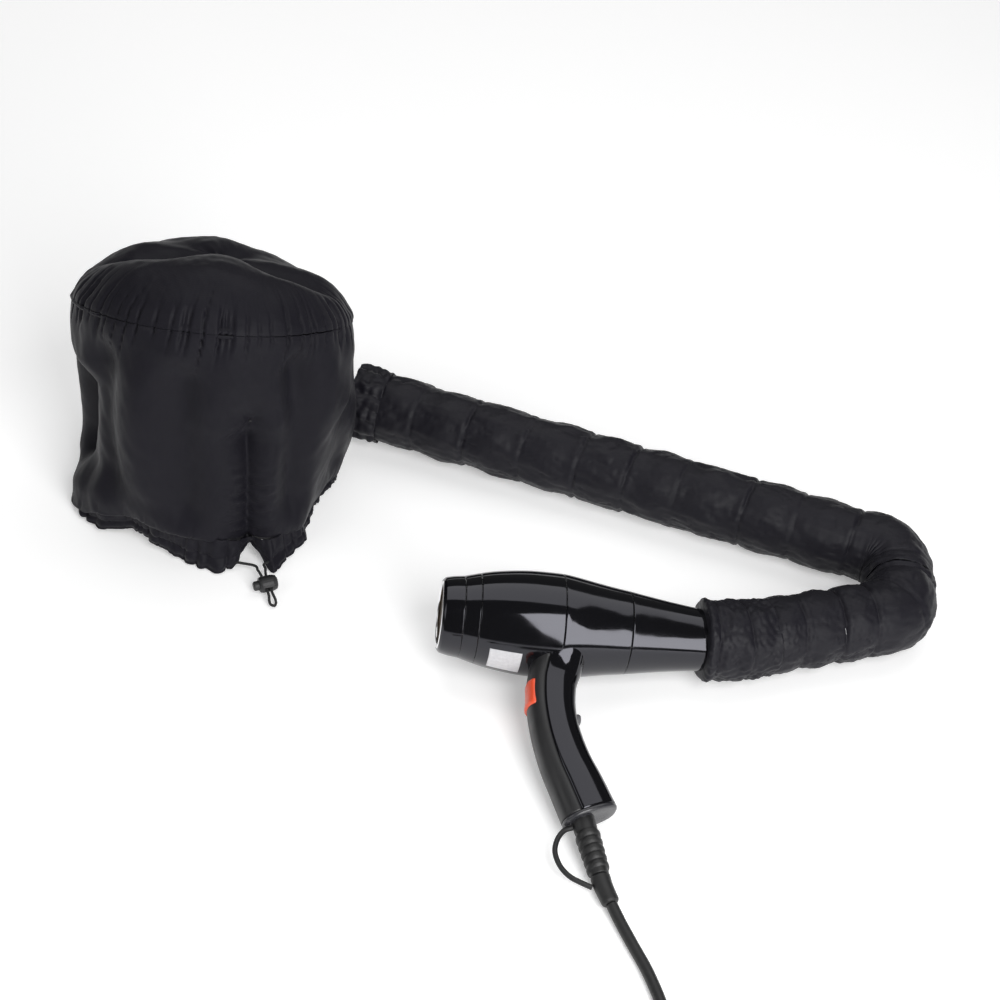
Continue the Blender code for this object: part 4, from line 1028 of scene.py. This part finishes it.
def make_hose():
    """The sleeve in two lengths that meet between the bends, its cuff and its collar."""
    start = smooth_route(HOSE_START + [tuple(Vector(HOSE_START[-1]).lerp(FIRST_BEND, 0.12))], 0.0016)
    start = [p for p in start if p.x > -0.1420]
    first = bend_arc(Vector(HOSE_START[-1]), FIRST_BEND, SECOND_BEND)
    cuff_side = Vector(LOWER_ROUTE[0])
    second = bend_arc(FIRST_BEND, SECOND_BEND, cuff_side)
    middle = (FIRST_BEND + SECOND_BEND) / 2
    upper = start + line(start[-1], first[0], 0.0016)[1:] + first[1:] + line(first[-1], middle, 0.0012)[1:]
    lower_run = line(second[-1], cuff_side, 0.0012)[1:] + smooth_route(LOWER_ROUTE, 0.0012)[1:]
    lower_run = [p for p in lower_run if p.x > 0.2290]
    lower = line(middle, second[0], 0.0012) + second[1:] + lower_run
    corners_one = [(first[11], (0.70, 0.70, 0), 0.0022), (middle, (1, 0.05, 0), 0.0004)]
    corners_two = [(middle, (1, 0.05, 0), 0.0004), (second[15], (0.80, -0.60, 0), 0.0028)]
    one = hose_sleeve("hose_sleeve_upper", upper, corners_one, WIRE_PITCH_UPPER, 0.15, 41)
    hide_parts("hose_upper", "hose_bend_1", "hose_middle")
    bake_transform(one)
    two = hose_sleeve("hose_sleeve_lower", lower, corners_two, WIRE_PITCH_LOWER, 0.40, 61)
    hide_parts("hose_bend_2", "hose_lower")
    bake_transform(two)
    make_cuff()
    make_collar()


def make_cuff():
    """The cuff that grips the nozzle: a turned hem with its stitch line."""
    route = smooth_route(LOWER_ROUTE[1:] + [CUFF_MOUTH], 0.0009)
    route = [p for p in route if p.x < 0.2335]
    centres = np.array([tuple(c) for c in route])
    run = np.concatenate([[0], np.cumsum(np.linalg.norm(np.diff(centres, axis=0), axis=1))])
    left = run[-1] - run

    def radius(centres, angle, spokes):
        spots = centres[:, None] + spokes * CUFF_RADIUS
        plain = HOSE_RADIUS + 0.0004 + (CUFF_RADIUS - HOSE_RADIUS) * smoothstep(run / 0.02)
        plain = plain + 0.0009 * hump(left - 0.0030, 0.0028) - 0.0011 * hump(left - 0.0085, 0.0010)
        plain = plain - 0.0022 * smoothstep((0.0016 - left) / 0.0016) - 0.0012 * hump(left - 0.0340, 0.0011)
        above = 0.3 + 0.7 * np.cos(angle + 0.6)[None, :]
        folds = 0.0005 * np.sin(2 * math.pi * run / 0.0125)[:, None] * above
        rough = 0.0006 * waves(spots, 71, (0.03,) * 3) + 0.00035 * waves(spots, 72, (0.010,) * 3)
        return plain[:, None] + folds + rough

    rows = tube_rows(centres, radius, 128)
    inner = tube_rows(centres[-8:][::-1], CUFF_RADIUS - 0.0026, 128)
    cuff = skin("hose_cuff_sleeve", np.concatenate([rows, inner])[::-1], HOSE, wall=0.0006)
    put(cuff, "hose_end", ("hose_cuff",))


def make_collar():
    """The short band at the sleeve's hood end. Like the sleeve, it stops short of the curved wall."""
    route = [p for p in smooth_route(HOSE_START, 0.0012) if -0.1440 < p.x < -0.0970]

    def radius(centres, angle, spokes):
        spots = centres[:, None] + spokes * HOSE_RADIUS
        ends = np.minimum(np.arange(len(centres)), np.arange(len(centres))[::-1])
        size = HOSE_RADIUS + 0.0012 + 0.0008 * smoothstep(ends / 4)[:, None]
        return size + 0.0008 * waves(spots, 81, (0.018, 0.018, 0.018)) + 0.0008 * np.sin(14 * angle)[None, :]

    rows = tube_rows(route, radius, 128)[::-1]
    rows[..., 2] = np.maximum(rows[..., 2], FLOOR_GAP)
    collar = skin("hose_collar_band", rows, HOSE, wall=0.0008)
    put(collar, "hood", ("hose_collar",))


# ---------------------------------------------------------------- dryer

BARREL = [(CAP_END, 0.0296), (-0.0968, 0.0307), (-0.0900, 0.0324), (CAP_FRONT, 0.0336), (-0.0760, 0.0350),
          (SEAT_FRONT, 0.0370), (-0.0600, 0.0390), (-0.0500, 0.0407), (-0.0370, 0.0423), (-0.0260, 0.0431),
          (-0.0140, 0.0433), (HOUSING_SEAM, 0.0431), (0.0050, 0.0425), (0.0140, 0.0411), (0.0280, 0.0386),
          (0.0420, 0.0363), (NOZZLE_SEAM, 0.0344), (0.0700, 0.0321), (0.0900, 0.0291), (0.1140, 0.0261),
          (0.1310, 0.0248), (NOZZLE_TIP, 0.0243)]
BARREL_LINE = np.array([tuple(p)[:2] for p in smooth_route([(x, r, 0) for x, r in BARREL], 0.0015)])
GRIP_SPLIT = math.radians(112)
SCREW_HEAD = [                    # radius, depth, 1 inside the cross slot
    (0.0026, 0.0030, 0), (0.0026, 0.0012, 0), (0.0023, 0.0007, 0), (0.0018, 0.0005, 0),
    (0.0014, 0.0005, 0), (0.0010, 0.0006, 1), (0.0004, 0.0009, 1),
]


def barrel_radius(x):
    return np.interp(x, BARREL_LINE[:, 0], BARREL_LINE[:, 1])


def lathe(name, profile, look, sides=144):
    """A surface turned about the local X axis: (x, radius) along its outside, then back along its inside."""
    profile = list(profile) + [profile[0]]
    angle = np.linspace(0, 2 * math.pi, sides, endpoint=False)
    rows = [np.stack([np.full(sides, x), r * np.cos(angle), r * np.sin(angle)], axis=1) for x, r in profile]
    return skin(name, rows, look)


def shell_profile(start, end, wall=SHELL, edge=0.0005):
    """The barrel's outline between two seams, with softened edges, and the inside of its wall."""
    x = np.concatenate([[start, start + edge * 0.3, start + edge],
                        np.linspace(start + 2 * edge, end - 2 * edge, 44),
                        [end - edge, end - edge * 0.3, end]])
    drop = np.zeros_like(x)
    drop[[0, 1, 2, -3, -2, -1]] = (edge, edge * 0.35, 0, 0, edge * 0.35, edge)
    outer = list(zip(x, barrel_radius(x) - drop))
    inner = [(at, float(barrel_radius(at)) - wall) for at in np.linspace(end, start, 24)]
    return outer + inner


def make_barrel():
    """The barrel's shells with their hairline seams, and the filter cap with its trim ring and mesh."""
    gap = 0.00012
    for name, start, end, node in (("rear_shell", SEAT_FRONT + gap, HOUSING_SEAM - gap, "rear_housing"),
                                   ("front_shell", HOUSING_SEAM + gap, NOZZLE_SEAM - gap, "front_housing"),
                                   ("nozzle_shell", NOZZLE_SEAM + gap, NOZZLE_TIP, "nozzle"),
                                   ("filter_seat_shell", CAP_FRONT + gap, SEAT_FRONT - gap, "filter_seat")):
        put(lathe(name, shell_profile(start, end), GLOSS), "dryer", (node,), DRYER)
    rim = [(CAP_FRONT - gap, 0.0300), (CAP_END + 0.0006, 0.0277), (CAP_END + 0.0001, 0.0280),
           (CAP_END, 0.0285)]
    x = np.linspace(CAP_END + 0.0020, CAP_FRONT - 0.0007, 26)
    outer = [(CAP_END, 0.0288), (CAP_END + 0.0004, 0.0293), (CAP_END + 0.0010, 0.0298)]
    outer += list(zip(x, barrel_radius(x)))
    outer += [(CAP_FRONT - 0.0002, 0.0334), (CAP_FRONT - gap, 0.0330)]
    put(lathe("filter_cap_shell", rim + outer, GLOSS), "filter", ("filter_cap",), DRYER)
    bead = [(CAP_END + 0.0010 + 0.0014 * math.cos(a), 0.0265 + 0.0013 * math.sin(a))
            for a in np.linspace(math.pi, -math.pi, 20, endpoint=False)]
    put(lathe("intake_ring", bead, CHROME), "filter", ("intake_trim_ring",), DRYER)
    disc = [(CAP_END + 0.0022 + 0.0009 * (1 - (r / 0.0262) ** 2), r) for r in np.linspace(0.0262, 0.0004, 24)]
    back = [(x + 0.0005, r) for x, r in reversed(disc)]
    gauze = lathe("intake_gauze", disc[::-1] + back[::-1], MESH)
    put(gauze, "filter", ("intake_mesh",), DRYER)


def grip_stations():
    """Cross-sections down the handle: it spreads where it meets the barrel."""
    stations = np.concatenate([HANDLE_ROOT, HANDLE_PATH])
    along = np.concatenate([[0], np.cumsum(np.hypot(np.diff(stations[:, 0]), np.diff(stations[:, 1])))])
    fine = np.linspace(0, along[-1], 110)
    smooth = []
    for column in stations.T:
        curve = smooth_route([(s, v, 0) for s, v in zip(along, column)], 0.001)
        smooth.append(np.interp(fine, [p.x for p in curve], [p.y for p in curve]))
    return np.stack(smooth, axis=1)


def grip_row(station, way, angles, inset=0.0, slide=0.0):
    """A rounded rectangle across the handle. Angle 0 is its front edge, pi its rear edge."""
    x, z, wide, thick = station
    across = np.array((-way[1], way[0]))
    c, s = np.cos(angles), np.sin(angles)
    reach = (np.abs(c) ** 2.5 + np.abs(s) ** 2.5) ** (-1 / 2.5)
    a = c * reach * (wide - inset)
    return np.stack([x + across[0] * a + way[0] * slide, s * reach * (thick - inset),
                     z + across[1] * a + way[1] * slide], axis=-1)


def grip_rows(stations, angles, inset):
    """Rows along the handle, each over the given angles."""
    ways = np.gradient(stations[:, :2], axis=0)
    ways /= np.linalg.norm(ways, axis=1)[:, None]
    return np.array([grip_row(station, way, angles, inset) for station, way in zip(stations, ways)])


def make_handle():
    """The grip's glossy front shell and matt rear cover, its end cap, and what is set into it."""
    stations = grip_stations()
    for name, start, end, look, slot, node in (
            ("handle_gloss_shell", -GRIP_SPLIT, GRIP_SPLIT, GLOSS, "gloss_black", "handle_shell"),
            ("handle_matt_cover", GRIP_SPLIT, 2 * math.pi - GRIP_SPLIT, MATT, "matt_black",
             "handle_rear_cover")):
        angles = np.linspace(start, end, 110)
        from_edge = np.minimum(angles - start, end - angles) * 0.017
        inset = 0.0011 * np.exp(-from_edge / 0.0009)
        rows = grip_rows(stations, angles, inset)
        fold = grip_rows(stations, angles[[0, -1]], 0.0042)
        rows = np.concatenate([fold[:, :1], rows, fold[:, 1:]], axis=1)
        piece = skin(name, rows[::-1], look, closed=False, wall=0.0012)
        put(piece, "dryer", (node,), DRYER)
    last = stations[-1]
    way = stations[-1, :2] - stations[-3, :2]
    way = way / np.linalg.norm(way)
    full = np.linspace(0, 2 * math.pi, 160, endpoint=False)
    rounding = [(0.0012, 0.0), (0.0003, 0.0003), (0.0, 0.0010), (0.0, 0.0024), (0.0004, 0.0031),
                (0.0012, 0.0036), (0.0026, 0.0038), (0.0080, 0.0037), (0.0110, 0.0036)]
    rows = np.array([grip_row(last, way, full, inset, slide) for inset, slide in rounding])
    cap = skin("handle_base_cap", rows[::-1], GLOSS_GREY, caps=True)
    put(cap, "dryer", ("handle_end_cap",), DRYER)
    make_rocker(stations)
    cool = [(-0.0040, 0.0047), (0.0010, 0.0047), (0.0019, 0.0043), (0.0026, 0.0034), (0.0029, 0.0020),
            (0.0030, 0.0003), (-0.0040, 0.0003)]
    button = lathe("cool_button_cap", cool, GREY, 64)
    put(button, "cool_button", ("cool_shot_button",), DRYER @ Matrix.Translation(BUTTON_AT))
    make_label()
    make_screws()


def make_rocker(stations):
    """The power rocker: it fills the rear edge of the grip, dished between its two ends."""
    rows = []
    for along in np.linspace(-1, 1, 34):
        z = ROCKER_PIVOT.z - along * 0.0122
        station = np.array([np.interp(z, stations[::-1, 1], stations[::-1, i]) for i in range(4)])
        ends = 1 - abs(along) ** 12
        proud = (0.0008 + 0.0012 * along ** 2 + 0.0006 * along) * ends - 0.0016 * (1 - ends)
        angles = np.radians(np.linspace(180 - 47, 180 + 47, 30))
        side = np.minimum(angles - angles[0], angles[-1] - angles) * 0.016
        lift = proud - 0.0018 * np.exp(-side / 0.0006)
        outer = grip_row(station, np.array((0.0, -1.0)), angles, -lift)
        inner = outer.copy()
        inner[:, 0] = -0.0150
        inner[:, 1] *= 0.80
        rows.append(np.concatenate([outer, inner[::-1]]))
    rocker = skin("rocker_cap", np.array(rows)[::-1], ORANGE, caps=True)
    put(rocker, "rocker", ("rocker_switch",), DRYER)


def make_label():
    """A blank rating label stuck to the underside of the rear housing."""
    x = np.linspace(-0.0585, -0.0325, 24)
    turn = np.radians(np.linspace(-111, -77, 28))
    rows = []
    for at in x:
        radius = barrel_radius(at) + LABEL_THICKNESS
        rows.append(np.stack([np.full(28, at), radius * np.cos(turn), radius * np.sin(turn)], axis=1))
    label = skin("rating_label", rows, PAPER, closed=False, wall=0.0003)
    put(label, "dryer", ("blank_label",), DRYER)


def make_screws():
    """Two cross-head screws, sunk in the underside of the grip."""
    for name, station in (("handle_screw_upper", 2), ("handle_screw_lower", 5)):
        x, z, _, thick = HANDLE_PATH[station]
        rows = []
        angle = np.linspace(0, 2 * math.pi, 48, endpoint=False)
        cross = np.minimum(np.abs(np.sin(angle * 2)), 1.0)
        for radius, depth, notch in SCREW_HEAD:
            r = radius * (1 - 0.45 * notch * cross)
            level = np.full(48, thick - depth - 0.0003)
            rows.append(np.stack([x + r * np.cos(angle), level, z + r * np.sin(angle)], axis=1))
        screw = skin(name + "_head", rows, STEEL, caps=True)
        put(screw, "dryer", (name,), DRYER)


def make_strain_relief():
    """The relief's plain collar and its slanted ribs, the sleeve below it and the hanging loop."""
    stops = [(-0.0022, 0.0106), (-0.0014, 0.0111), (0.0000, 0.0110), (0.0008, 0.0098), (0.0020, 0.0093),
             (0.0150, 0.0090), (0.0160, 0.0086)]
    core = [(z, 0.0086 - 0.0013 * (z - 0.016) / 0.035) for z in np.arange(0.0165, 0.0515, 0.0005)]
    profile = stops + core
    angle = np.linspace(0, 2 * math.pi, 96, endpoint=False)
    rows = []
    for z, r in profile:
        slanted = z - 0.0022 * np.cos(angle)
        phase = (slanted - 0.0175) / 0.0064
        rib = np.clip(np.sin(math.pi * (phase % 1.0)), 0, 1) ** 0.45
        on = smoothstep((slanted - 0.0170) / 0.001) * smoothstep((0.0490 - slanted) / 0.001)
        radius = r + (0.0019 * rib - 0.0004) * on
        rows.append(np.stack([radius * np.cos(angle), radius * np.sin(angle), np.full(96, z)], axis=1))
    relief = skin("relief_ribs", rows, RUBBER, caps=True)
    turn = RELIEF_WAY.to_track_quat("Z", "Y").to_matrix().to_4x4()
    put(relief, "dryer", ("strain_relief",), DRYER @ Matrix.Translation(RELIEF_TOP) @ turn)
    route = smooth_route(SLEEVE_ROUTE, 0.0012)
    share = np.linspace(0, 1, len(route))

    def radius(centres, angle, spokes):
        flat = 1 + 0.10 * np.cos(angle)[None, :] ** 2
        end = 1 - 0.25 * smoothstep((share - 0.93) / 0.07) - 0.12 * smoothstep((0.06 - share) / 0.06)
        return (0.0070 - 0.0008 * share)[:, None] * end[:, None] * flat

    sleeve = skin("lead_sleeve", tube_rows(route, radius, 64)[::-1], RUBBER, caps=True)
    put(sleeve, "dryer", ("cord_sleeve",))
    strap = smooth_route([(0.0090, 0, -0.1812), (0.0030, 0, -0.1842), (-0.0022, 0, -0.1920),
                          (-0.0040, 0, -0.2024), (-0.0002, 0, -0.2135), (0.0073, 0, -0.2215),
                          (0.0171, 0, -0.2262), (0.0240, 0, -0.2288)], 0.0015)
    loop = wire("hanging_loop_strap", [DRYER @ p for p in strap], 0.0021, RUBBER, sides=5)
    put(loop, "dryer", ("hanging_loop",))


def make_dryer():
    make_barrel()
    make_handle()
    make_strain_relief()


# ---------------------------------------------------------------- drawstring

def make_drawstring():
    """The string's ends run from the hem to the lock and meet in a loop beyond it; the rest is cased."""
    out = Vector((math.cos(STRING_GATE), math.sin(STRING_GATE), 0))
    side = Vector((-out.y, out.x, 0))
    lock = Vector(RIM_CENTRE) + out * (RIM_RADIUS + LOCK_REACH)
    lock.z = LOCK_HEIGHT
    start, end = STRING_GATE + math.radians(4.5), STRING_GATE + 2 * math.pi - math.radians(4.5)
    angle = np.linspace(start, end, 220)
    hem = hem_spot(angle, np.full_like(angle, 0.86)) - outward(angle) * 0.0026
    hem = [Vector(p) for p in hem]
    loose = [lock + out * d + side * w + Vector((0, 0, h)) for d, w, h in (
        (-0.0225, 0.0046, 0.0010), (-0.0165, 0.0034, 0.0012), (-0.0105, 0.0020, 0.0002),
        (0.0, 0.0017, 0), (0.0120, 0.0018, -0.0006), (0.0165, 0.0026, -0.0024),
        (0.0200, 0.0024, -0.0042), (0.0220, 0.0004, -0.0050))]
    mirrored = [p - side * 2 * (p - lock).dot(side) for p in loose[:-1]]
    route = smooth_route([tuple(p) for p in [hem[3]] + loose], 0.0012)
    back = smooth_route([tuple(p) for p in [hem[-4]] + mirrored + [loose[-1]]], 0.0012)
    string = wire("hem_string", hem[3:-3] + back[1:] + route[::-1][1:-1], 0.0012, BRAID, cyclic=True, sides=3)
    put(string, "hood", ("drawstring",))


# ---------------------------------------------------------------- assembly

make_camera()
make_lead()
dress_frame()
make_studio()
make_hood()
make_drawstring()
make_hose()
make_dryer()
bpy.context.view_layer.update()
